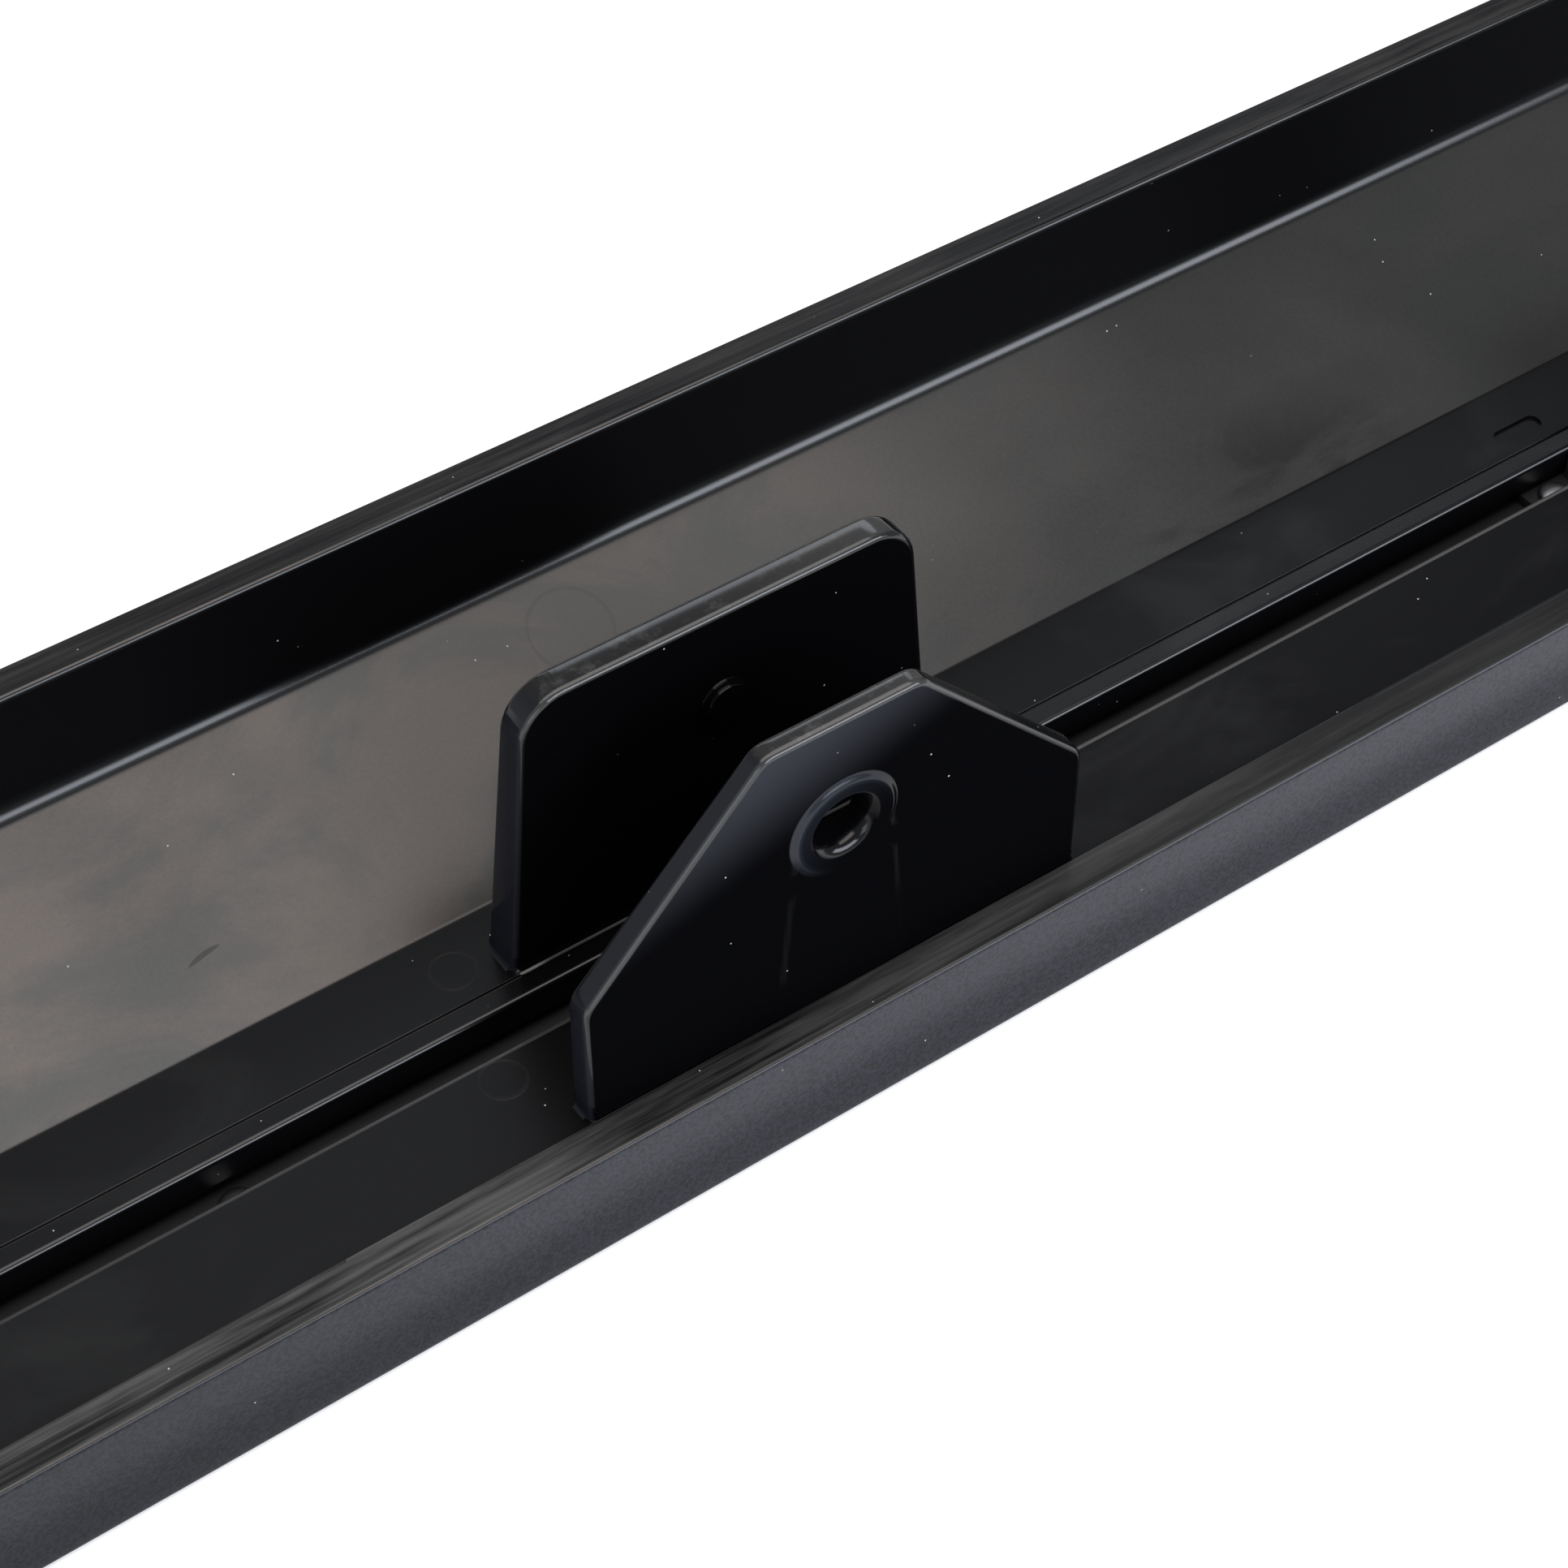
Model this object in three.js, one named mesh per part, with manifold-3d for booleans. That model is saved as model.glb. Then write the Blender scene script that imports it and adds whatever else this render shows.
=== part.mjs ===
// Cabinet drawer slide: a moulded channel standing over a three-member steel ball slide.
// The channel has a low front wall, a slotted floor, a sloping ramp and a tall fence.  Two ears
// stand on the floor, one on each side of the slot, as a clevis for a cross pin.
//
// Frame, in millimetres: +X along the slide towards its closed end, +Y towards the fence, +Z up.
// Origin: on the base plane, below the middle of the floor slot and the clevis axis.
import * as THREE from 'three';
import { mergeVertices } from 'three/addons/utils/BufferGeometryUtils.js';
import Module from 'manifold-3d';

// ---------------------------------------------------------------- driving dimensions
const clearance = 0.3;            // gap between two pieces that meet face to face
const runningGap = 0.4;           // gap beside a piece that slides past another
const past = 1;                   // length that a cutter runs on beyond the material

// channel
const channelLength = 400;
const cavityWidth = 30.8;         // between the two legs that hold the steel slide
const floorTop = 14.6;
const floorThickness = 2.5;
const frontWall = 4.45;
const rimRise = 0.6;              // front wall above the floor
const rearLeg = 2.5;
const rampFootY = 15;
const rampRun = 28.1;
const rampRise = 13.4;
const rampShell = 2.8;
const fenceHeight = 15.1;         // above the top of the ramp
const fenceThickness = 4.2;
const ribThickness = 1.6;
const ribPitch = 40;
const ribDepth = 5;               // ribs hang this far below the ramp
const weld = 0.5;                 // depth that a rib or boss runs into the wall it stands on

// floor slot
const slotWidth = 4.4;
const slotLipThickness = 1.6;
const slotEndRoom = 4;            // slot length left beyond the tongue plate at each end of travel

// ears
const axisHeight = 24.7;          // clevis axis above the floor
const earRoot = 1;                // depth that an ear is sunk into the floor
const earEdge = 0.5;              // chamfer around an ear
const frontEar = { y: -14.95, base: 3.5, tip: 2.6, half: 30.2, topHalf: 9.2, shoulder: 16.4, height: 39.1 };
const rearEar = { y: 5.45, base: 5.2, tip: 3.7, half: 26.5, topHalf: 23.2, corner: 5.5, height: 36.7 };
const pinHole = 6.4;
const pinHoleRim = 8.1;
const bossDiameter = 12;
const bossRise = 0.5;
const ribRise = 0.3;              // low rib below the boss
const ribFootHalf = 8.3;
const pipDiameter = 5.2;
const pipRise = 1;

// steel slide
const steel = 1.2;
const cageSteel = 0.6;
const outerBall = 3;
const innerBall = 2.4;
const memberInset = 4;            // cabinet member ends inside the channel ends
const memberHeadroom = 0.9;       // between the cabinet member and the underside of the floor
const lipWidth = 3.6;
const middleInset = 8;            // middle member ends inside the closed end
const cageLength = 240;
const cageEnd = 10;               // cage beyond its last ball
const cageRim = 1;                // cage above its balls
const ballsPerSide = 4;
const travel = 270;

// drive tongue and its plate
const tongueX = 136;              // middle of the tongue when the slide is closed
const tongueLength = 35;
const tonguePlate = 1;
const plateLength = 48;
const plateWidth = 9;
const padLength = 26;
const padWidth = 9.4;
const padThickness = 3;
const padTop = 27;
const padHole = 4.2;
const padHoleDepth = 9;
const padHolePlace = 0.65;        // share of the pad's half length
const bladeWall = 0.8;            // least wall beside a hole in the blade
const noseDrop = 0.6;             // ends of the blade below the floor's surface

// front bracket
const bracketFoot = 17.5;
const bracketWidth = 26;
const bracketTop = 42;
const bracketHole = 5;
const bracketHolePitch = 15.3;
const bracketCorner = 3;
const bracketFloorGap = 2;
const bracketRivetPlaces = [0.35, 0.8];   // shares of the foot's length

// release lever
const leverX = -62;               // pivot
const leverLength = 60;
const leverWidth = 4;
const leverTail = 1;
const leverTip = 0.6;             // share of its width that the free end keeps

// end caps, bumper and fasteners
const capThickness = 3;
const openingMargin = 0.6;
const rivetShank = 2.4;
const rivetHeadHeight = 0.8;
const capScrew = { shank: 2.5, head: 5.4, headHeight: 1.8, length: 10 };
const capScrewBoss = 7;
const capBossFoot = 3;            // lower boss above the base plane
const capBossRoom = 2;            // boss beyond the screw's point
const sideScrew = { shank: 2.5, head: 5, headHeight: 1.4 };
const sideScrewX = 170;
const fenceHole = 4.8;
const fenceHoleX = 160;
const bumper = { head: 9, thickness: 3, stem: 4 };

// ---------------------------------------------------------------- sizes that follow
const halfLength = channelLength / 2;
const cavityHalf = cavityWidth / 2;
const floorBottom = floorTop - floorThickness;
const frontY = -(cavityHalf + frontWall);
const rimTop = floorTop + rimRise;
const legOutY = cavityHalf + rearLeg;
const fenceY = rampFootY + rampRun;
const fenceBackY = fenceY + fenceThickness;
const rampTop = floorTop + rampRise;
const fenceTop = rampTop + fenceHeight;
const rampSlope = rampRise / rampRun;
const rampDrop = rampShell * Math.hypot(1, rampSlope);
const underRamp = (y) => floorTop + rampSlope * (y - rampFootY) - rampDrop;
const axisZ = floorTop + axisHeight;

const cabinetTop = floorBottom - memberHeadroom;
const middleTop = cabinetTop - steel - clearance;
const plateZ = floorBottom - runningGap - rivetHeadHeight - clearance - steel;
const drawerWebTop = plateZ - clearance;
const slotLipBottom = plateZ + tonguePlate + runningGap;
const rivetHead = slotWidth - runningGap;

const memberHalf = cavityHalf - runningGap;
const outerBallY = memberHalf - steel - clearance - outerBall / 2;
const middleHalf = outerBallY - outerBall / 2 - clearance;
const innerBallY = middleHalf - steel - clearance - innerBall / 2;
const drawerHalf = innerBallY - innerBall / 2 - clearance;
const outerCageZ = steel + clearance;
const middleZ = outerCageZ + cageSteel + clearance;
const innerCageZ = middleZ + steel + clearance;
const drawerZ = innerCageZ + cageSteel + clearance;
const outerBallZ = (outerCageZ + middleTop) / 2;
const innerBallZ = (drawerZ + drawerWebTop - steel) / 2;
const webBottom = drawerWebTop - steel;
const leverBottom = drawerZ + rivetHeadHeight + clearance;
const leverThickness = webBottom - clearance - leverBottom;
const drawerEnd = halfLength - bumper.thickness - clearance;
const slotStart = tongueX - plateLength / 2 - travel - slotEndRoom;
const slotEnd = tongueX + plateLength / 2 + slotEndRoom;
const capFrontX = -(halfLength + clearance + capThickness);
const bracketX = capFrontX - clearance - runningGap;
const openingTop = plateZ + steel + clearance + rivetHeadHeight + openingMargin;

// ---------------------------------------------------------------- materials
function material(color, roughness, metalness) {
  return new THREE.MeshStandardMaterial({ color, roughness, metalness });
}
const blackPlastic = material(0x1c1d1f, 0.5, 0);
const blackSteel = material(0x26272a, 0.45, 0.7);
const zincSteel = material(0xa9adb2, 0.35, 0.95);
const ballSteel = material(0xd4d7da, 0.12, 1);
const blackRubber = material(0x141414, 0.9, 0);
const greyNylon = material(0x5a5d60, 0.6, 0);

// ---------------------------------------------------------------- helpers
const wasm = await Module();
wasm.setup();

const axisX = new THREE.Vector3(1, 0, 0);
const axisY = new THREE.Vector3(0, 1, 0);
const axisUp = new THREE.Vector3(0, 0, 1);
const sectionFrame = new THREE.Matrix4().makeBasis(axisY, axisUp, axisX);
const elevationFrame = new THREE.Matrix4().makeBasis(axisX, axisUp, axisY.clone().negate());

function toSolid(geometry) {
  const bare = geometry.clone();
  bare.deleteAttribute('normal');
  bare.deleteAttribute('uv');
  const merged = mergeVertices(bare, 1e-5);
  return new wasm.Manifold(new wasm.Mesh({
    numProp: 3,
    vertProperties: new Float32Array(merged.attributes.position.array),
    triVerts: new Uint32Array(merged.index.array),
  }));
}

function toGeometry(solid) {
  const mesh = solid.getMesh();
  const geometry = new THREE.BufferGeometry();
  geometry.setAttribute('position', new THREE.BufferAttribute(mesh.vertProperties, 3));
  geometry.setIndex(new THREE.BufferAttribute(mesh.triVerts, 1));
  geometry.computeVertexNormals();
  return geometry;
}

function combine(base, added, removed) {
  let solid = toSolid(base);
  for (const geometry of added) solid = solid.add(toSolid(geometry));
  for (const geometry of removed) solid = solid.subtract(toSolid(geometry));
  return toGeometry(solid);
}

function outline(points) {
  return new THREE.Shape(points.map(([u, v]) => new THREE.Vector2(u, v)));
}

// A section in Y and Z, carried along X.
function alongX(shape, start, end) {
  const geometry = new THREE.ExtrudeGeometry(shape, { depth: end - start, bevelEnabled: false });
  return geometry.applyMatrix4(sectionFrame).translate(start, 0, 0);
}

// An outline in X and Z, carried along Y, with its edges chamfered.
function alongY(shape, start, end, edge = 0) {
  const settings = { depth: end - start - 2 * edge, bevelEnabled: edge > 0, curveSegments: 6 };
  Object.assign(settings, { bevelSize: edge, bevelOffset: -edge, bevelThickness: edge, bevelSegments: 1 });
  const geometry = new THREE.ExtrudeGeometry(shape, settings);
  return geometry.applyMatrix4(elevationFrame).translate(0, end - edge, 0);
}

function block(x0, x1, y0, y1, z0, z1) {
  const geometry = new THREE.BoxGeometry(x1 - x0, y1 - y0, z1 - z0);
  return geometry.translate((x0 + x1) / 2, (y0 + y1) / 2, (z0 + z1) / 2);
}

// A round bar or cutter between two points on one axis; its second radius may differ.
function round(from, to, radius, endRadius = radius, sides = 24) {
  const start = new THREE.Vector3(...from);
  const span = new THREE.Vector3(...to).sub(start);
  const geometry = new THREE.CylinderGeometry(endRadius, radius, span.length(), sides);
  geometry.translate(0, span.length() / 2, 0);
  geometry.applyQuaternion(new THREE.Quaternion().setFromUnitVectors(axisY, span.normalize()));
  return geometry.translate(start.x, start.y, start.z);
}

// A closed outline with rounded corners; each corner is [u, v, radius].
function roundedShape(corners) {
  const shape = new THREE.Shape();
  corners.forEach(([u, v, radius], index) => {
    const corner = new THREE.Vector2(u, v);
    const before = corners.at(index - 1);
    const after = corners[(index + 1) % corners.length];
    const towards = (other) => corner.clone()
      .lerp(new THREE.Vector2(other[0], other[1]), radius / Math.hypot(other[0] - u, other[1] - v));
    const enter = towards(before);
    const leave = towards(after);
    if (index === 0) shape.moveTo(enter.x, enter.y);
    else shape.lineTo(enter.x, enter.y);
    if (radius > 0) shape.quadraticCurveTo(corner.x, corner.y, leave.x, leave.y);
  });
  shape.closePath();
  return shape;
}

// The section of a bent sheet: a centreline with a round bend at each corner.
function sheetShape(corners, thickness, steps = 4) {
  const bend = thickness;
  const points = corners.map(([u, v]) => new THREE.Vector2(u, v));
  const left = [];
  const right = [];
  const put = (point, normal) => {
    left.push(point.clone().addScaledVector(normal, thickness / 2));
    right.unshift(point.clone().addScaledVector(normal, -thickness / 2));
  };
  const heading = (a, b) => b.clone().sub(a).normalize();
  const leftOf = (d) => new THREE.Vector2(-d.y, d.x);
  points.forEach((point, index) => {
    const into = index > 0 ? heading(points[index - 1], point) : heading(point, points[1]);
    const out = index < points.length - 1 ? heading(point, points[index + 1]) : into;
    const turn = Math.atan2(into.cross(out), into.dot(out));
    if (Math.abs(turn) < 1e-6) {
      put(point, leftOf(into));
      return;
    }
    const side = Math.sign(turn);
    const centre = point.clone().addScaledVector(into, -bend * Math.tan(Math.abs(turn) / 2))
      .addScaledVector(leftOf(into), side * bend);
    for (let step = 0; step <= steps; step++) {
      const normal = leftOf(into).rotateAround(new THREE.Vector2(), turn * step / steps);
      put(centre.clone().addScaledVector(normal, -side * bend), normal);
    }
  });
  return new THREE.Shape([...left, ...right]);
}

// Leans the faces of an upright piece so that it goes from one thickness to another.
function taperY(geometry, faceY, baseZ, height, base, tip) {
  const position = geometry.attributes.position;
  for (let i = 0; i < position.count; i++) {
    const rise = THREE.MathUtils.clamp((position.getZ(i) - baseZ) / height, 0, 1);
    const scale = THREE.MathUtils.lerp(1, tip / base, rise);
    position.setY(i, faceY + (position.getY(i) - faceY) * scale);
  }
  return geometry;
}

function lathe(profile, sides = 20) {
  return new THREE.LatheGeometry(profile.map(([r, h]) => new THREE.Vector2(r, h)), sides);
}

const group = new THREE.Group();

function addMesh(name, geometry, finish, parent = group) {
  const mesh = new THREE.Mesh(geometry, finish);
  mesh.name = name;
  parent.add(mesh);
  return mesh;
}

// ---------------------------------------------------------------- channel
function channelGeometry() {
  const section = outline([
    [frontY, 0], [frontY, rimTop], [-cavityHalf, rimTop], [-cavityHalf, floorTop],
    [rampFootY, floorTop], [fenceY, rampTop], [fenceY, fenceTop], [fenceBackY, fenceTop],
    [fenceBackY, 0], [fenceY, 0], [fenceY, underRamp(fenceY)], [legOutY, underRamp(legOutY)],
    [legOutY, 0], [cavityHalf, 0], [cavityHalf, floorBottom], [-cavityHalf, floorBottom],
    [-cavityHalf, 0],
  ]);
  const added = [...slotLips(), ...bayRibs(), frontEarGeometry(), rearEarGeometry()];
  const removed = [slotCut(), pinHoleCut(), ...fenceHoleCuts(), ...sideScrewCuts()];
  for (const side of [-1, 1]) {
    added.push(...capBosses(side));
    removed.push(...capScrewPlaces().map(([y, z]) => round(
      [side * (halfLength - capScrew.length), y, z], [side * (halfLength + past), y, z],
      capScrew.shank / 2 + clearance, undefined, 16)));
  }
  return combine(alongX(section, -halfLength, halfLength), added, removed);
}

function slotLips() {
  const outer = slotWidth / 2 + slotLipThickness;
  return [block(slotStart - slotLipThickness, slotEnd + slotLipThickness, -outer, outer,
    slotLipBottom, floorBottom + earRoot)];
}

function slotCut() {
  const radius = slotWidth / 2;
  const bend = radius * 0.99;    // a full radius would leave no straight side at the ends
  const slot = roundedShape([
    [slotStart, -radius, bend], [slotEnd, -radius, bend],
    [slotEnd, radius, bend], [slotStart, radius, bend],
  ]);
  const depth = floorTop - slotLipBottom + 2 * past;
  const geometry = new THREE.ExtrudeGeometry(slot, { depth, bevelEnabled: false, curveSegments: 5 });
  return geometry.translate(0, 0, slotLipBottom - past);
}

function bayRibs() {
  const from = legOutY - weld;
  const to = fenceY + weld;
  const rib = outline([
    [from, underRamp(from) - ribDepth], [to, underRamp(to) - ribDepth],
    [to, underRamp(to) + weld], [from, underRamp(from) + weld],
  ]);
  const count = Math.floor((halfLength - ribPitch / 4) / ribPitch);
  const ribs = [];
  for (let i = -count; i <= count; i++) {
    ribs.push(alongX(rib, i * ribPitch - ribThickness / 2, i * ribPitch + ribThickness / 2));
  }
  return ribs;
}

function capScrewPlaces() {
  const reach = capScrewBoss / 2;
  return [[legOutY + reach, capBossFoot + reach], [fenceY - reach, underRamp(fenceY) - rampDrop - reach]];
}

function capBosses(side) {
  const reach = capScrewBoss / 2;
  const inner = side * (halfLength - capScrew.length - capBossRoom);
  const outer = side * halfLength;
  const [low, high] = capScrewPlaces();
  const ends = [Math.min(inner, outer), Math.max(inner, outer)];
  return [
    block(...ends, legOutY - weld, low[0] + reach, low[1] - reach, low[1] + reach),
    block(...ends, high[0] - reach, fenceY + weld, high[1] - reach, high[1] + reach),
  ];
}

function frontEarGeometry() {
  const { y, base, tip, half, topHalf, shoulder, height } = frontEar;
  const foot = floorTop - earRoot;
  const shape = roundedShape([
    [-half, foot, 0], [half, foot, 0], [half, floorTop + shoulder, 3],
    [topHalf, floorTop + height, 3], [-topHalf, floorTop + height, 3], [-half, floorTop + shoulder, 3],
  ]);
  const plate = taperY(alongY(shape, y, y + base, earEdge), y, foot, height + earRoot, base, tip);
  const bossRadius = bossDiameter / 2;
  const rib = outline([
    [-ribFootHalf, foot], [ribFootHalf, foot], [bossRadius, axisZ], [-bossRadius, axisZ],
  ]);
  const boss = round([0, y + base / 2, axisZ], [0, y - bossRise, axisZ], bossRadius, undefined, 40);
  return toGeometry(toSolid(plate)
    .add(toSolid(alongY(rib, y - ribRise, y + base / 2)))
    .add(toSolid(boss)));
}

function rearEarGeometry() {
  const { y, base, tip, half, topHalf, corner, height } = rearEar;
  const foot = floorTop - earRoot;
  const shape = roundedShape([
    [-half, foot, 0], [half, foot, 0],
    [topHalf, floorTop + height, corner], [-topHalf, floorTop + height, corner],
  ]);
  const plate = taperY(alongY(shape, y, y + base, earEdge), y, foot, height + earRoot, base, tip);
  const pip = round([0, y + base / 4, axisZ], [0, y - pipRise, axisZ], pipDiameter / 2);
  return toGeometry(toSolid(plate).add(toSolid(pip)));
}

function pinHoleCut() {
  const face = frontEar.y - bossRise;
  const depth = (pinHoleRim - pinHole) / 2;
  const bore = round([0, face - past, axisZ], [0, frontEar.y + frontEar.base + past, axisZ], pinHole / 2,
    undefined, 32);
  const rim = round([0, face - clearance, axisZ], [0, face + depth, axisZ],
    pinHoleRim / 2 + clearance, pinHole / 2, 32);
  return toGeometry(toSolid(bore).add(toSolid(rim)));
}

function fenceHoleCuts() {
  const z = rampTop + fenceHeight / 2;
  const cuts = [];
  for (const side of [-1, 1]) {
    const x = side * fenceHoleX;
    cuts.push(round([x, fenceY - past, z], [x, fenceBackY + past, z], fenceHole / 2, undefined, 20));
    cuts.push(round([x, fenceY, z], [x, fenceY + fenceHole / 2, z], fenceHole, fenceHole / 2, 20));
  }
  return cuts;
}

// The screws that hold the cabinet member between the legs: place along the channel, height,
// leg (-1 front, 1 rear) and the distance from the middle of the face that the head sinks into.
function sideScrewPlaces() {
  const z = (steel + middleTop) / 2;
  return [-1, 1].flatMap((end) => [
    { x: end * sideScrewX, z, side: -1, face: -frontY },
    { x: end * (sideScrewX - ribPitch / 2), z, side: 1, face: legOutY + sideScrew.headHeight + clearance },
  ]);
}

function sideScrewCuts() {
  return sideScrewPlaces().flatMap(({ x, z, side, face }) => {
    const seat = face - sideScrew.headHeight - clearance;
    return [
      round([x, side * (memberHalf - steel - past), z], [x, side * (face + past), z],
        sideScrew.shank / 2 + clearance, undefined, 16),
      round([x, side * seat, z], [x, side * (face + past), z], sideScrew.head / 2 + clearance, undefined, 20),
    ];
  });
}

// ---------------------------------------------------------------- steel members
function cabinetMemberGeometry() {
  const wall = memberHalf - steel / 2;
  const lip = memberHalf - lipWidth;
  const top = cabinetTop - steel / 2;
  const profile = sheetShape([
    [lip, top], [wall, top], [wall, steel / 2], [-wall, steel / 2], [-wall, top], [-lip, top],
  ], steel);
  const end = halfLength - memberInset;
  const holes = sideScrewPlaces().map(({ x, z, side }) => round(
    [x, side * (memberHalf - steel - past), z], [x, side * (memberHalf + past), z],
    sideScrew.shank / 2 + clearance, undefined, 16));
  return combine(alongX(profile, -end, end), [], holes);
}

function middleMemberGeometry() {
  const wall = middleHalf - steel / 2;
  const web = middleZ + steel / 2;
  const profile = sheetShape([[wall, middleTop], [wall, web], [-wall, web], [-wall, middleTop]], steel);
  return alongX(profile, -halfLength, halfLength - middleInset);
}

function drawerMemberGeometry() {
  const wall = drawerHalf - steel / 2;
  const web = drawerWebTop - steel / 2;
  const profile = sheetShape([[wall, drawerZ], [wall, web], [-wall, web], [-wall, drawerZ]], steel);
  const holes = [...plateRivets(), ...bracketRivets(), leverX].map((x) => round(
    [x, 0, web - steel], [x, 0, web + steel], rivetShank / 2 + clearance, undefined, 16));
  return combine(alongX(profile, bracketX, drawerEnd), [], holes);
}

const ballPlaces = Array.from({ length: ballsPerSide }, (_, i) =>
  (i - (ballsPerSide - 1) / 2) * (cageLength - 2 * cageEnd) / (ballsPerSide - 1));

function cageGeometry(ballY, ballZ, ball, webZ) {
  const flangeTop = ballZ + ball / 2 + cageRim;
  const web = webZ + cageSteel / 2;
  const profile = sheetShape([
    [ballY, flangeTop], [ballY, web], [-ballY, web], [-ballY, flangeTop],
  ], cageSteel);
  const pockets = ballPlaces.map((x) => round(
    [x, -ballY - past, ballZ], [x, ballY + past, ballZ], ball / 2 + clearance, undefined, 20));
  return combine(alongX(profile, -cageLength / 2, cageLength / 2), [], pockets);
}

function addBalls(prefix, diameter, y, z, finish, parent) {
  let number = 1;
  for (const side of [-1, 1]) {
    for (const x of ballPlaces) {
      const ball = new THREE.SphereGeometry(diameter / 2, 14, 9);
      const mesh = addMesh(`${prefix}_${number}`, ball, finish, parent);
      mesh.position.set(x, side * y, z);
      number += 1;
    }
  }
}

// ---------------------------------------------------------------- rivets and screws
function plateRivets() {
  const inset = (plateLength - tongueLength) / 4;
  return [tongueX - plateLength / 2 + inset, tongueX + plateLength / 2 - inset];
}

function bracketRivets() {
  return bracketRivetPlaces.map((share) => bracketX + bracketFoot * share);
}

// A rivet upright on the drawer member, closing on what lies from bottom to top.
function rivetGeometry(bottom, top) {
  const shank = rivetShank / 2;
  const head = rivetHead / 2;
  return lathe([
    [0, bottom - rivetHeadHeight], [head * 0.8, bottom - rivetHeadHeight], [head, bottom - clearance],
    [shank, bottom - clearance], [shank, top + clearance], [head, top + clearance],
    [head * 0.75, top + clearance + rivetHeadHeight * 0.7], [0, top + clearance + rivetHeadHeight],
  ]).rotateX(Math.PI / 2);
}

function screwGeometry({ shank, head, headHeight }, length) {
  const blank = lathe([
    [0, -length], [shank * 0.25, -length], [shank / 2, -length + shank / 2], [shank / 2, 0],
    [head / 2, 0], [head / 2, headHeight * 0.5], [head * 0.3, headHeight], [0, headHeight],
  ]);
  const arm = head * 0.32;
  const width = head * 0.07;
  const recess = headHeight * 0.45;
  const cross = [
    block(-arm, arm, recess, headHeight + past, -width, width),
    block(-width, width, recess, headHeight + past, -arm, arm),
  ];
  return combine(blank, [], cross);
}

// ---------------------------------------------------------------- moving fittings
function tongueGeometry() {
  const half = tongueLength / 2;
  const padHalf = padLength / 2;
  const blade = slotWidth / 2 - runningGap;
  const nose = floorTop - noseDrop;
  const side = roundedShape([
    [-half, plateZ, 0], [half, plateZ, 0], [half, nose, 1.5], [padHalf, padTop - padThickness, 2],
    [padHalf, padTop - 1, 0], [-padHalf, padTop - 1, 0], [-padHalf, padTop - padThickness, 2],
    [-half + 5, floorTop + 1, 1.5], [-half, nose, 1.2],
  ]);
  const web = alongY(side, -blade, blade);
  const plate = block(-plateLength / 2, plateLength / 2, -plateWidth / 2, plateWidth / 2, plateZ,
    plateZ + tonguePlate);
  const pad = block(-padHalf, padHalf, -padWidth / 2, padWidth / 2, padTop - padThickness, padTop);
  const holes = plateRivets().map((x) => round(
    [x - tongueX, 0, plateZ - past], [x - tongueX, 0, plateZ + tonguePlate + past],
    rivetShank / 2 + clearance, undefined, 16));
  const pilots = [-1, 1].map((end) => round(
    [end * padHalf * padHolePlace, 0, padTop - padHoleDepth],
    [end * padHalf * padHolePlace, 0, padTop + past],
    Math.min(padHole / 2, blade - bladeWall), undefined, 16));
  return combine(web, [plate, pad], [...holes, ...pilots]);
}

function bracketGeometry() {
  const sheet = steel;
  const foot = plateZ + sheet / 2;
  const wall = bracketX - sheet / 2;
  const profile = sheetShape([
    [bracketX + bracketFoot, foot], [wall, foot], [wall, (floorTop + bracketTop) / 2],
  ], sheet);
  const angle = alongY(profile, -plateWidth / 2, plateWidth / 2);
  const low = floorTop + bracketFloorGap;
  const face = roundedShape([
    [-bracketWidth / 2, low, bracketCorner], [bracketWidth / 2, low, bracketCorner],
    [bracketWidth / 2, bracketTop, bracketCorner], [-bracketWidth / 2, bracketTop, bracketCorner],
  ]);
  const plate = alongX(face, wall - sheet / 2, wall + sheet / 2);
  const rivetHoles = bracketRivets().map((x) => round(
    [x, 0, foot - sheet], [x, 0, foot + sheet], rivetShank / 2 + clearance, undefined, 16));
  const screwHoles = [-1, 1].map((side) => {
    const z = (low + bracketTop) / 2;
    const y = side * bracketHolePitch / 2;
    return round([wall - sheet, y, z], [wall + sheet, y, z], bracketHole / 2, undefined, 20);
  });
  return combine(angle, [plate], [...rivetHoles, ...screwHoles]);
}

function leverGeometry() {
  const half = leverWidth / 2;
  const shape = roundedShape([
    [-half - leverTail, -half, half * 0.9], [leverLength, -half * leverTip, 1],
    [leverLength, half * leverTip, 1], [-half - leverTail, half, half * 0.9],
  ]);
  const geometry = new THREE.ExtrudeGeometry(shape, { depth: leverThickness, bevelEnabled: false });
  const hole = round([0, 0, -past], [0, 0, leverThickness + past], rivetShank / 2 + clearance, undefined, 16);
  return combine(geometry, [], [hole]);
}

// ---------------------------------------------------------------- end caps
function capGeometry(side) {
  const shape = outline([
    [frontY, 0], [frontY, rimTop], [-cavityHalf, rimTop], [-cavityHalf, floorTop],
    [rampFootY, floorTop], [fenceY, rampTop], [fenceY, fenceTop], [fenceBackY, fenceTop], [fenceBackY, 0],
  ]);
  const inner = side * (halfLength + clearance);
  const outer = side * (halfLength + clearance + capThickness);
  const ends = [Math.min(inner, outer), Math.max(inner, outer)];
  const removed = capScrewPlaces().map(([y, z]) => round(
    [ends[0] - past, y, z], [ends[1] + past, y, z], capScrew.shank / 2 + clearance, undefined, 16));
  if (side < 0) {
    const half = middleHalf + openingMargin;
    removed.push(block(ends[0] - past, ends[1] + past, -half, half, middleZ - openingMargin, openingTop));
  } else {
    const z = (drawerZ + drawerWebTop) / 2;
    removed.push(round([ends[0] - past, 0, z], [ends[1] + past, 0, z], bumper.stem / 2, undefined, 20));
  }
  return combine(alongX(shape, ...ends), [], removed);
}

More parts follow.
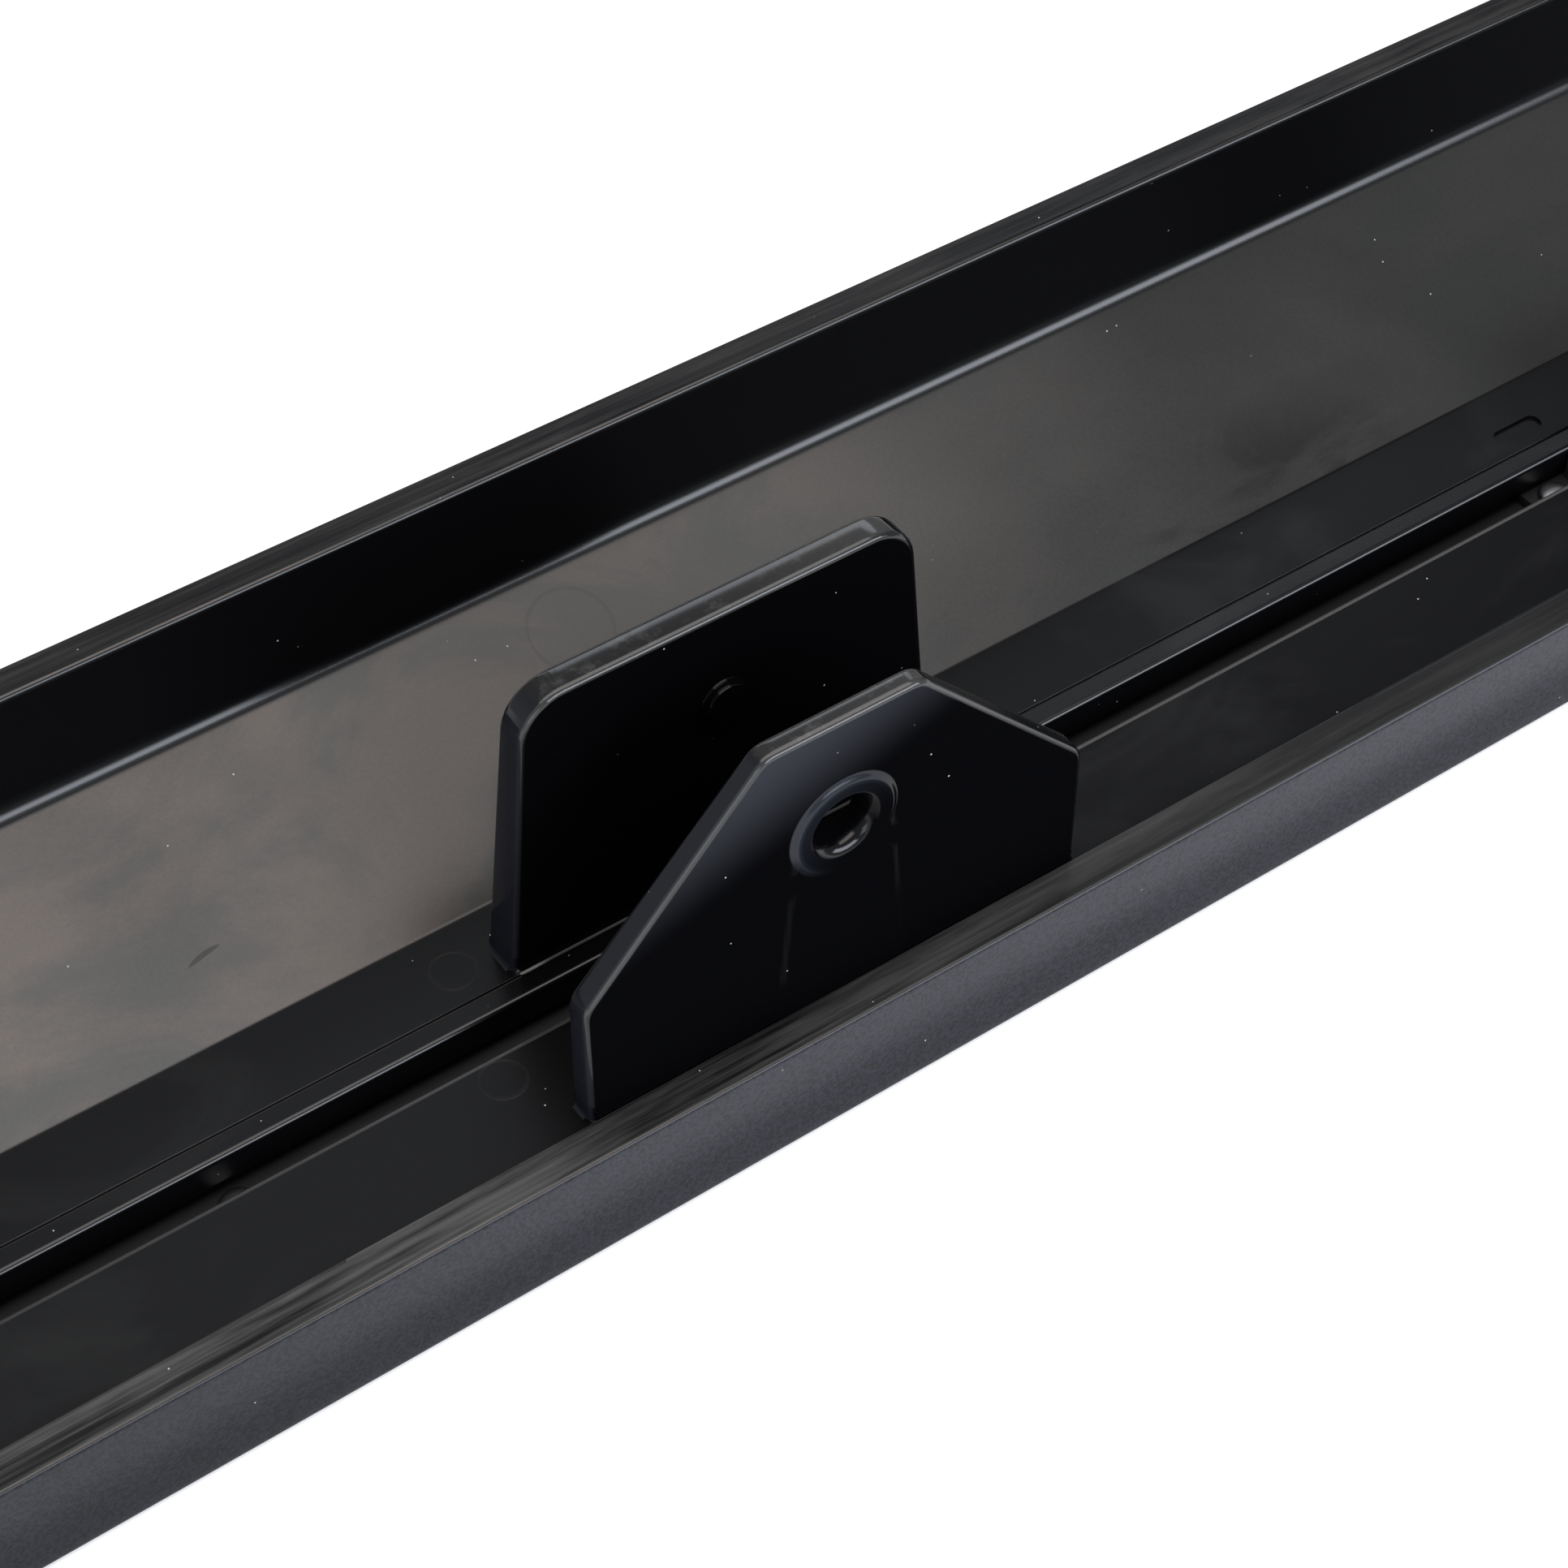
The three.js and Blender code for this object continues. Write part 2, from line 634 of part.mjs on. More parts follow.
function bumperGeometry() {
  const stem = bumper.stem / 2 - clearance;
  const reach = clearance + capThickness + clearance;
  return lathe([
    [0, -bumper.thickness], [bumper.head * 0.4, -bumper.thickness], [bumper.head / 2, -bumper.thickness + 1],
    [bumper.head / 2, 0], [stem, 0], [stem, reach], [stem + 1, reach], [stem + 0.6, reach + 1.2],
    [0, reach + 1.2],
  ]).rotateZ(-Math.PI / 2);
}

// ---------------------------------------------------------------- assembly
addMesh('channel_housing', channelGeometry(), blackPlastic);
addMesh('cabinet_member', cabinetMemberGeometry(), zincSteel);
addMesh('front_end_cap', capGeometry(-1), blackPlastic);
addMesh('rear_end_cap', capGeometry(1), blackPlastic);

let screwNumber = 1;
for (const side of [-1, 1]) {
  for (const [y, z] of capScrewPlaces()) {
    const mesh = addMesh(`end_cap_screw_${screwNumber}`, screwGeometry(capScrew, capScrew.length), zincSteel);
    mesh.position.set(side * (halfLength + 2 * clearance + capThickness), y, z);
    mesh.rotation.z = -side * Math.PI / 2;
    screwNumber += 1;
  }
}

sideScrewPlaces().forEach(({ x, z, side, face }, index) => {
  const seat = face - sideScrew.headHeight;
  const length = seat - (memberHalf - steel) - clearance / 2;
  const mesh = addMesh(`side_screw_${index + 1}`, screwGeometry(sideScrew, length), zincSteel);
  mesh.position.set(x, side * seat, z);
  mesh.rotation.z = side < 0 ? Math.PI : 0;
});

const bumperMesh = addMesh('rear_bumper', bumperGeometry(), blackRubber);
bumperMesh.position.set(halfLength, 0, (drawerZ + drawerWebTop) / 2);

const outerCage = new THREE.Group();
addMesh('outer_ball_cage', cageGeometry(outerBallY, outerBallZ, outerBall, outerCageZ), zincSteel, outerCage);
addBalls('outer_ball', outerBall, outerBallY, outerBallZ, ballSteel, outerCage);
group.add(outerCage);

addMesh('middle_member', middleMemberGeometry(), zincSteel);

const innerCage = new THREE.Group();
addMesh('inner_ball_cage', cageGeometry(innerBallY, innerBallZ, innerBall, innerCageZ), zincSteel, innerCage);
addBalls('inner_ball', innerBall, innerBallY, innerBallZ, ballSteel, innerCage);
group.add(innerCage);

const drawer = new THREE.Group();
addMesh('drawer_member', drawerMemberGeometry(), blackSteel, drawer);
addMesh('drive_tongue', tongueGeometry(), blackSteel, drawer).position.x = tongueX;
addMesh('front_bracket', bracketGeometry(), blackSteel, drawer);
plateRivets().forEach((x, index) => {
  addMesh(`tongue_rivet_${index + 1}`, rivetGeometry(webBottom, plateZ + tonguePlate), zincSteel, drawer)
    .position.x = x;
});
bracketRivets().forEach((x, index) => {
  addMesh(`bracket_rivet_${index + 1}`, rivetGeometry(webBottom, plateZ + steel), zincSteel, drawer)
    .position.x = x;
});
addMesh('lever_rivet', rivetGeometry(leverBottom, drawerWebTop), zincSteel, drawer).position.x = leverX;
addMesh('release_lever', leverGeometry(), greyNylon, drawer).position.set(leverX, 0, leverBottom);
group.add(drawer);

export default group;
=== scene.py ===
"""A cabinet drawer slide: a black moulded channel with clevis ears over a telescoping steel slide.

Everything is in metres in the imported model's frame: +X along the slide towards its closed end,
+Y towards the fence, +Z up.  Sizes in the property groups are in millimetres where they say so.
"""
import math

import bmesh
import bpy
import numpy as np
from bpy.props import FloatProperty, FloatVectorProperty, IntProperty, PointerProperty
from bpy.types import Operator, Panel, PropertyGroup
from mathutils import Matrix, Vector


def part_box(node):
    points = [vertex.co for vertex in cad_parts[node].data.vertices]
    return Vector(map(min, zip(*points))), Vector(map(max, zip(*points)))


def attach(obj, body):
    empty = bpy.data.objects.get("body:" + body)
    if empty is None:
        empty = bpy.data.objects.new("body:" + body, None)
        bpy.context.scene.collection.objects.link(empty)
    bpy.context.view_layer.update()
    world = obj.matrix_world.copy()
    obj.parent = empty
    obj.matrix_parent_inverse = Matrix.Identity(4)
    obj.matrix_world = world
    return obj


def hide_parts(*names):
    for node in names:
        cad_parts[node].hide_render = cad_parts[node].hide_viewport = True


bl_info = {
    "name": "Cabinet Drawer Slide",
    "version": (1, 0, 0),
    "blender": (4, 5, 0),
    "location": "3D View > Sidebar > Drawer Slide",
    "description": "Builds the visible surfaces and finishes of a moulded drawer slide",
    "category": "Object",
}

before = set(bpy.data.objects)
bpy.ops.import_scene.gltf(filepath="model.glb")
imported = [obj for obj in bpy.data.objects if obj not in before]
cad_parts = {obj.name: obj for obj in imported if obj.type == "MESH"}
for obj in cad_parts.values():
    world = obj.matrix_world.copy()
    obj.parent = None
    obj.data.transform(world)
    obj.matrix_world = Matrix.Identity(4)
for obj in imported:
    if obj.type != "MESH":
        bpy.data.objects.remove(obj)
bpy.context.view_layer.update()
MM = 0.001


# Small marks on the channel, as places in X and Y and lengths in millimetres.
EJECTORS = ((0.3, 35.7, 4.86), (-31.3, 9.5, 2.46), (-34.4, -5.4, 2.46))
SCRATCH = (-52.3, 22.9)
POCKET = ((112.6, 6.9), (119.4, 6.9), (119.4, 9.2), (112.6, 9.2))


def node_box(node):
    """Lowest and highest corner of a CAD node, in millimetres."""
    return (np.array(corner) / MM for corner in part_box(node))


CHANNEL_LOW, CHANNEL_HIGH = node_box("channel_housing")


# ------------------------------------------------------------------ settings
def size(name, default, description):
    """A length in millimetres."""
    return FloatProperty(name=name, default=default, min=0.0, description=description)


def angle(name, degrees, description):
    """An angle, given in degrees."""
    return FloatProperty(name=name, default=math.radians(degrees), subtype="ANGLE",
                         unit="ROTATION", description=description)


def share(name, default, description):
    """A share from 0 to 1."""
    return FloatProperty(name=name, default=default, min=0.0, max=1.0, subtype="FACTOR",
                         description=description)


def power(name, default, description):
    """A lamp's power in watts."""
    return FloatProperty(name=name, default=default, min=0.0, unit="POWER", description=description)


def colour(name, default, description):
    """A linear red, green and blue."""
    return FloatVectorProperty(name=name, default=default, size=3, min=0.0, max=1.0,
                               subtype="COLOR", description=description)


class ChannelSizes(PropertyGroup):
    """Lengths of the moulded channel's section, in millimetres."""
    floor: size("Floor height", 14.6, "Floor above the base plane, in mm")
    floor_thickness: size("Floor thickness", 2.5, "Thickness of the floor, in mm")
    rim_rise: size("Rim rise", 0.6, "Front rim above the floor, in mm")
    cavity: size("Cavity width", 30.8, "Clear width between the legs, in mm")
    leg: size("Rear leg", 2.5, "Thickness of the rear leg, in mm")
    ramp_foot: size("Ramp foot", 15.0, "Distance from the slot's middle to the ramp, in mm")
    ramp_rise: size("Ramp rise", 13.4, "Height of the ramp, in mm")
    ramp_shell: size("Ramp shell", 2.8, "Thickness of the ramp, in mm")
    fence: size("Fence thickness", 4.2, "Thickness of the fence, in mm")
    fence_top: size("Fence top", 43.1, "Top of the fence above the base plane, in mm")
    slot: size("Slot width", 4.4, "Width of the floor slot, in mm")
    slot_lip: size("Slot lip", 1.6, "Thickness of the slot's side walls, in mm")
    slot_start: size("Slot start", 162.0, "Open end of the slot in front of the middle, in mm")
    slot_end: size("Slot end", 164.0, "Open end of the slot behind the middle, in mm")
    insert_start: FloatProperty(name="Insert start", default=-58.3,
                                description="Front witness line on the low rim, in mm")
    insert_end: FloatProperty(name="Insert end", default=71.3,
                              description="Rear witness line on the low rim, in mm")
    witness: size("Witness step", 0.28, "Step in the low rim at a witness line, in mm")
    lip_bottom: size("Slot wall foot", 10.8, "Lower edge of the slot's walls, in mm")
    groove: size("Groove place", 4.95, "Fine groove behind the slot, from its middle, in mm")
    rib_pitch: size("Rib pitch", 40.0, "Distance between ribs under the ramp, in mm")
    rib_depth: size("Rib depth", 5.0, "Depth of the ribs under the ramp, in mm")
    pocket_depth: size("Pocket depth", 0.35, "Depth of the small pocket in the rear floor, in mm")
    fixing: size("Fixing place", 160.0, "Fence screw holes, each way from the middle, in mm")


class EarSizes(PropertyGroup):
    """Lengths of the two clevis ears, in millimetres."""
    axis: size("Axis height", 24.7, "Clevis axis above the floor, in mm")
    sunk: size("Root", 0.8, "Depth that an ear's foot is sunk into the floor, in mm")
    edge: size("Edge radius", 0.75, "Rounding of an ear's edges, in mm")
    fillet: size("Foot fillet", 0.7, "Radius where an ear meets the floor, in mm")
    front_face: size("Front ear face", 14.95, "Front ear's outer face in front of the slot, in mm")
    front_base: size("Front ear root", 3.5, "Front ear's thickness at the floor, in mm")
    front_tip: size("Front ear tip", 2.6, "Front ear's thickness at its top, in mm")
    front_half: size("Front ear half width", 30.2, "Half of the front ear's width, in mm")
    front_top_half: size("Front ear top", 9.2, "Half of the front ear's top edge, in mm")
    front_shoulder: size("Front ear shoulder", 16.4, "Shoulder above the floor, in mm")
    front_height: size("Front ear height", 39.1, "Front ear above the floor, in mm")
    rear_face: size("Rear ear face", 5.45, "Rear ear's front face behind the slot, in mm")
    rear_base: size("Rear ear root", 5.2, "Rear ear's thickness at the floor, in mm")
    rear_tip: size("Rear ear tip", 3.7, "Rear ear's thickness at its top, in mm")
    rear_half: size("Rear ear half width", 26.5, "Half of the rear ear's width at the floor, in mm")
    rear_top_half: size("Rear ear top", 23.2, "Half of the rear ear's width at the top, in mm")
    rear_corner: size("Rear ear corner", 5.5, "Radius of the rear ear's top corners, in mm")
    rear_height: size("Rear ear height", 36.7, "Rear ear above the floor, in mm")
    hole: size("Pin hole", 6.4, "Diameter of the pin hole, in mm")
    hole_rim: size("Hole bevel", 8.1, "Outer diameter of the hole's bevel, in mm")
    boss: size("Boss", 12.0, "Diameter of the raised ring round the hole, in mm")
    boss_rise: size("Boss rise", 0.5, "Height of the ring round the hole, in mm")
    rib_rise: size("Rib rise", 0.3, "Height of the low rib under the ring, in mm")
    pip: size("Pip", 5.2, "Diameter of the pip on the rear ear, in mm")
    pip_rise: size("Pip rise", 1.0, "Height of the pip, in mm")


class SteelSizes(PropertyGroup):
    """Lengths of the steel slide, in millimetres."""
    sheet: size("Sheet", 1.2, "Thickness of the three members, in mm")
    lip: size("Lip width", 3.6, "Width of the cabinet member's turned lips, in mm")
    rivet_head: size("Rivet head", 0.8, "Height of a rivet's domed head, in mm")
    rivet_flat: size("Rivet foot", 0.5, "Height of a rivet's flat head, in mm")
    rivet_shank: size("Rivet shank", 2.4, "Diameter of a rivet's shank, in mm")
    soft_edge: size("Soft edge", 0.18, "Bevel on stamped edges, in mm")
    ball_rows: IntProperty(name="Ball rows", default=20, min=8,
                           description="Rings of faces on a ball")


class FinishColours(PropertyGroup):
    """Colours and gloss of the finishes."""
    plastic: colour("Plastic", (0.0022, 0.0022, 0.0027), "Black moulded plastic")
    # Also the lightest tone of the painted light on the outer faces.
    matt: colour("Matt plastic", (0.0195, 0.0212, 0.0305), "Lightest grain of the outer faces")
    # Also the colour of painted highlights on the slot's edge and the ears' edges, and of painted light on
    # the ears' tops.
    scuff_and_painted_highlight: colour("Scuff", (0.085, 0.083, 0.080), "Plastic where it is scuffed")
    # The film colours also carry the painted glare on the ramp.
    warm_film_and_painted_glare: colour("Warm film", (0.150, 0.122, 0.108), "Dry brownish film on the ramp")
    cool_film_and_painted_glare: colour("Cool film", (0.080, 0.081, 0.077), "Wiped patches of the film on the ramp")
    # Painted sheen: light painted into the ears' colour.
    painted_sheen: colour("Sheen", (0.028, 0.032, 0.043), "Bluish sheen on the ears")
    dust: colour("Dust", (0.55, 0.55, 0.54), "Specks of dust")
    zinc: colour("Zinc", (0.60, 0.61, 0.63), "Bright zinc plate")
    ball: colour("Ball steel", (0.78, 0.79, 0.80), "Polished ball steel")
    coat: colour("Black coat", (0.018, 0.018, 0.020), "Black coat on steel")
    rubber: colour("Rubber", (0.016, 0.016, 0.016), "Black rubber")
    nylon: colour("Nylon", (0.17, 0.18, 0.19), "Grey nylon")
    plastic_gloss: share("Plastic roughness", 0.27, "Roughness of the smooth plastic")


class StudioSettings(PropertyGroup):
    """Camera and light."""
    azimuth: angle("Azimuth", -35.06, "Camera's way round the object")
    elevation: angle("Elevation", 47.31, "Camera's height above the horizon")
    distance: size("Distance", 356.9, "Camera from its target, in mm")
    target: FloatVectorProperty(name="Target", default=(11.33, 11.23, 14.6), size=3,
                                description="Point that the camera looks at, in mm")
    lens: FloatProperty(name="Lens", default=76.2, min=1.0, subtype="DISTANCE_CAMERA",
                        description="Focal length in mm on a 36 mm frame")
    sky: FloatProperty(name="Sky", default=0.30, min=0.0, description="Strength of the even light")
    top_light: power("Top light", 2.3, "Power of the warm light overhead, in watts")
    front_light: power("Front light", 6.5, "Power of the cool light in front, in watts")
    left_light: power("Left light", 1.1, "Power of the low cool light on the left, in watts")
    rear_light: power("Rear light", 1.6, "Power of the cool light behind, in watts")


def settings():
    """The sizes of the channel, the ears and the steel slide."""
    scene = bpy.context.scene
    return scene.slide_channel, scene.slide_ears, scene.slide_steel


# ------------------------------------------------------------------ surfaces
def grid_faces(rows, columns, close_rows=False, close_columns=False):
    """Quads joining each grid point to its neighbours in the next row and column."""
    row = np.arange(rows if close_rows else rows - 1)
    column = np.arange(columns if close_columns else columns - 1)
    r, c = np.meshgrid(row, column, indexing="ij")
    r_next, c_next = (r + 1) % rows, (c + 1) % columns
    corners = [r * columns + c, r_next * columns + c, r_next * columns + c_next, r * columns + c_next]
    return np.stack(corners, -1)


def make_piece(name, sheets, material, body, sharp=35.0, merge=2e-6):
    """One mesh from sheets: each is (points, quads), or (points, None) for one flat face.

    The points are in millimetres.  Points that lie together are merged, so sheets that share a
    border become one closed skin, and every face is turned to point out of it."""
    points, loops, starts, sizes = [], [], [], []
    base = offset = 0
    for place, quads in sheets:
        place = np.asarray(place, float).reshape(-1, 3)
        faces = np.arange(len(place))[None, :] if quads is None else quads.reshape(-1, 4)
        points.append(place * MM)
        loops.append(faces.ravel() + base)
        starts.append(np.arange(len(faces)) * faces.shape[1] + offset)
        sizes.append(len(faces))
        base += len(place)
        offset += faces.size
    mesh = bpy.data.meshes.new(name)
    mesh.vertices.add(base)
    mesh.vertices.foreach_set("co", np.concatenate(points).ravel())
    mesh.loops.add(offset)
    mesh.loops.foreach_set("vertex_index", np.concatenate(loops))
    mesh.polygons.add(sum(sizes))
    mesh.polygons.foreach_set("loop_start", np.concatenate(starts))
    mesh.update(calc_edges=True)
    skin = bmesh.new()
    skin.from_mesh(mesh)
    bmesh.ops.remove_doubles(skin, verts=skin.verts, dist=merge)
    bmesh.ops.recalc_face_normals(skin, faces=skin.faces)
    skin.to_mesh(mesh)
    skin.free()
    return finish_piece(bpy.data.objects.new(name, mesh), material, body, sharp)


def finish_piece(piece, material, body, sharp=35.0):
    """Links a piece, shades it smooth up to the sharp angle, and lets it ride on its body."""
    if piece.name not in bpy.context.scene.collection.objects:
        bpy.context.scene.collection.objects.link(piece)
    mesh = piece.data
    mesh.polygons.foreach_set("use_smooth", np.ones(len(mesh.polygons), bool))
    mesh.set_sharp_from_angle(angle=math.radians(sharp))
    mesh.materials.clear()
    mesh.materials.append(material)
    mesh.update()
    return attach(piece, body)


def fitted(node, name, sheets, finish, body, sharp=35.0):
    """A finished piece that stands for a CAD node."""
    piece = make_piece(name, sheets, finish_for(finish), body, sharp)
    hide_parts(node)
    return piece


def rounded(corners, steps=5, lead=0.12):
    """A closed outline (N, 2).  Each corner (u, v, radius) becomes an arc that touches both of
    its sides, with one more point just before and just after it, so that the sides stay flat
    when shaded smooth."""
    corners = np.array(corners, float)
    here = corners[:, :2]
    radius = corners[:, 2]
    into = here - np.roll(here, 1, 0)
    into /= np.linalg.norm(into, axis=1, keepdims=True)
    out = np.roll(into, -1, 0)
    turn = np.arctan2(into[:, 0] * out[:, 1] - into[:, 1] * out[:, 0], (into * out).sum(1))
    back = radius * np.abs(np.tan(turn / 2))
    left = np.stack([-into[:, 1], into[:, 0]], 1) * np.sign(turn)[:, None]
    centre = here - into * back[:, None] + left * radius[:, None]
    sweep = np.linspace(0, 1, steps + 1)[None, :] * turn[:, None]
    cos, sin = np.cos(sweep)[..., None], np.sin(sweep)[..., None]
    spoke = -left[:, None, :] * radius[:, None, None]
    side = np.stack([-spoke[..., 1], spoke[..., 0]], -1)
    arc = centre[:, None, :] + spoke * cos + side * sin
    first = here - into * (back + lead)[:, None]
    last = here + out * (back + lead)[:, None]
    return np.concatenate([first[:, None], arc, last[:, None]], 1).reshape(-1, 2)


def spaced(*stops):
    """Positions through stops, given as place, count, place, count, place: even between each two."""
    runs = [np.linspace(stops[i], stops[i + 2], stops[i + 1], endpoint=False)
            for i in range(0, len(stops) - 2, 2)]
    return np.concatenate(runs + [[stops[-1]]])


def carried(profile, stations):
    """Points of a section (Y, Z) repeated at each station along X."""
    points = np.empty((len(stations), len(profile), 3))
    points[..., 0] = stations[:, None]
    points[..., 1:] = profile[None]
    return points


def swept(profile, stations):
    """A closed section (Y, Z) carried along X, with a flat face at each end."""
    points = carried(profile, stations)
    quads = grid_faces(*points.shape[:2], close_columns=True)
    return [(points, quads), (points[0], None), (points[-1], None)]


def turned(profile, centre, direction, sides=40):
    """A closed profile (radius, height), from the axis to the axis, turned about an axis through
    centre along direction."""
    profile = np.array(profile, float)
    axis = np.array(direction, float)
    across = np.array([0.0, 0.0, 1.0]) if abs(axis[2]) < 0.9 else np.array([1.0, 0.0, 0.0])
    across = np.cross(axis, across)
    across /= np.linalg.norm(across)
    third = np.cross(axis, across)
    turn = np.arange(sides) * 2 * np.pi / sides
    ring = np.cos(turn)[:, None] * across + np.sin(turn)[:, None] * third
    points = np.array(centre) + profile[:, None, 1:] * axis + profile[:, None, :1] * ring[None]
    return [(points, grid_faces(len(profile), sides, close_columns=True))]


def ramp_under(channel, y):
    """Height of the ramp's underside above the base plane at a distance y behind the slot."""
    fence_face = CHANNEL_HIGH[1] - channel.fence
    slope = channel.ramp_rise / (fence_face - channel.ramp_foot)
    return channel.floor + slope * (y - channel.ramp_foot) - channel.ramp_shell * math.hypot(1, slope)


# ------------------------------------------------------------------ finishes
class Value:
    """A number inside a material.  Arithmetic on it adds Math nodes."""

    def __init__(self, finish, socket):
        self.finish = finish
        self.socket = socket

    def math(self, operation, *others):
        """A Math node with this value first and the others after it."""
        return self.finish.node("ShaderNodeMath", {"operation": operation},
                                dict(enumerate((self, *others))))

    def __add__(self, other):
        return self.math("ADD", other)

    def __radd__(self, other):
        return self.math("ADD", other)

    def __sub__(self, other):
        return self.math("SUBTRACT", other)

    def __rsub__(self, other):
        return self.math("MULTIPLY_ADD", -1.0, other)

    def __mul__(self, other):
        return self.math("MULTIPLY", other)

    def __rmul__(self, other):
        return self.math("MULTIPLY", other)

    def __truediv__(self, other):
        return self.math("DIVIDE", other)

    def below(self, limit):
        """1 where the value is under a limit, else 0."""
        return self.math("LESS_THAN", limit)

    def above(self, limit):
        """1 where the value is over a limit, else 0."""
        return self.math("GREATER_THAN", limit)

    def ramp(self, low, high):
        """0 below low, 1 above high, smooth between."""
        return self.finish.node("ShaderNodeMapRange", {"interpolation_type": "SMOOTHSTEP"},
                                {"Value": self, "From Min": low, "From Max": high})


class Finish:
    """A material under construction, on the piece's own coordinates."""

    def __init__(self, name):
        self.material = bpy.data.materials.new(name)
        self.material.use_nodes = True
        self.tree = self.material.node_tree
        self.shader = self.tree.nodes["Principled BSDF"]
        self.place = self.node("ShaderNodeTexCoord", {}, {}, "Object")
        facing = self.node("ShaderNodeNewGeometry", {}, {}, "Normal")
        self.x, self.y, self.z = (self.part(self.place, axis) / MM for axis in "XYZ")
        self.facing_x, self.facing_y, self.facing_z = (self.part(facing, axis) for axis in "XYZ")

    def node(self, kind, choices, sockets, output=0):
        """Any node: its choices are set first, then its sockets are given values or links."""
        made = self.tree.nodes.new(kind)
        for name, choice in choices.items():
            setattr(made, name, choice)
        for name, value in sockets.items():
            if isinstance(value, Value):
                self.tree.links.new(value.socket, made.inputs[name])
            else:
                made.inputs[name].default_value = value
        return Value(self, made.outputs[output])

    def part(self, vector, axis):
        """One number of a vector."""
        return self.node("ShaderNodeSeparateXYZ", {}, {"Vector": vector}, axis)

    def stretched(self, stretch):
        """The piece's coordinates with each axis scaled."""
        return self.node("ShaderNodeMapping", {}, {"Vector": self.place, "Scale": stretch})

    def noise(self, scale, detail=3.0, rough=0.5, stretch=(1, 1, 1), warp=0.0):
        """Cloudy noise from 0 to 1; scale counts features in a metre."""
        return self.node("ShaderNodeTexNoise", {}, {
            "Vector": self.stretched(stretch), "Scale": scale, "Detail": detail,
            "Roughness": rough, "Distortion": warp})

    def specks(self, scale):
        """Distance to the nearest of many scattered points, in features."""
        return self.node("ShaderNodeTexVoronoi", {}, {"Vector": self.place, "Scale": scale}, "Distance")

    def mix(self, factor, first, second):
        """A colour between two colours."""
        first, second = (tone if isinstance(tone, Value) else (*tone, 1.0) for tone in (first, second))
        return self.node("ShaderNodeMix", {"data_type": "RGBA"}, {0: factor, 6: first, 7: second}, 2)

    def link(self, socket, value):
        """Feeds a socket of the shader with a value that changes over the surface."""
        self.tree.links.new(value.socket, self.shader.inputs[socket])

    def fix(self, **sockets):
        """Sets sockets of the shader that stay the same all over the surface."""
        for name, value in sockets.items():
            self.shader.inputs[name.replace("_", " ")].default_value = value

    def bump(self, height, distance, strength=1.0):
        """Relief from a height between 0 and 1, distance deep in millimetres."""
        self.link("Normal", self.node("ShaderNodeBump", {}, {
            "Strength": strength, "Distance": distance * MM, "Height": height}))


class ChannelZones:
    """Masks over the moulded channel: 1 inside a zone, 0 outside it."""

    def __init__(self, finish, channel):
        y, forward = finish.y, 0 - finish.facing_y
        front_wall = -channel.cavity / 2 + 0.05
        fence = CHANNEL_HIGH[1] - channel.fence - 0.05
        skin = 0.6
        up = finish.facing_z.ramp(0.90, 0.98)
        tilted = finish.facing_z.ramp(0.78, 0.86) * (1 - finish.facing_z.ramp(0.93, 0.97))
        self.front = y.below(0)
        self.crest = up * y.above(fence)
        self.rim = up * y.below(front_wall) + self.crest
        self.floor = up * y.above(front_wall) * y.below(fence)
        self.sloped = tilted * finish.z.above(channel.floor)
        self.outer = (forward.ramp(0.5, 0.9) * y.below(CHANNEL_LOW[1] + skin)
                      + finish.facing_y.ramp(0.5, 0.9) * y.above(CHANNEL_HIGH[1] - skin))
        self.inside = forward.ramp(0.75, 0.97) * y.above(CHANNEL_LOW[1] + skin)
        self.strip = y.above(0) * y.below(channel.groove)
        # Painted highlight: a lighter band along the slot's front edge, stronger towards the closed end.
        edge = finish.z.above(channel.floor - 0.5) * y.above(-channel.slot / 2 - 0.8) * self.front
        self.painted_slot_highlight = edge * (0.4 + finish.x.ramp(-70, 50) * 0.5)


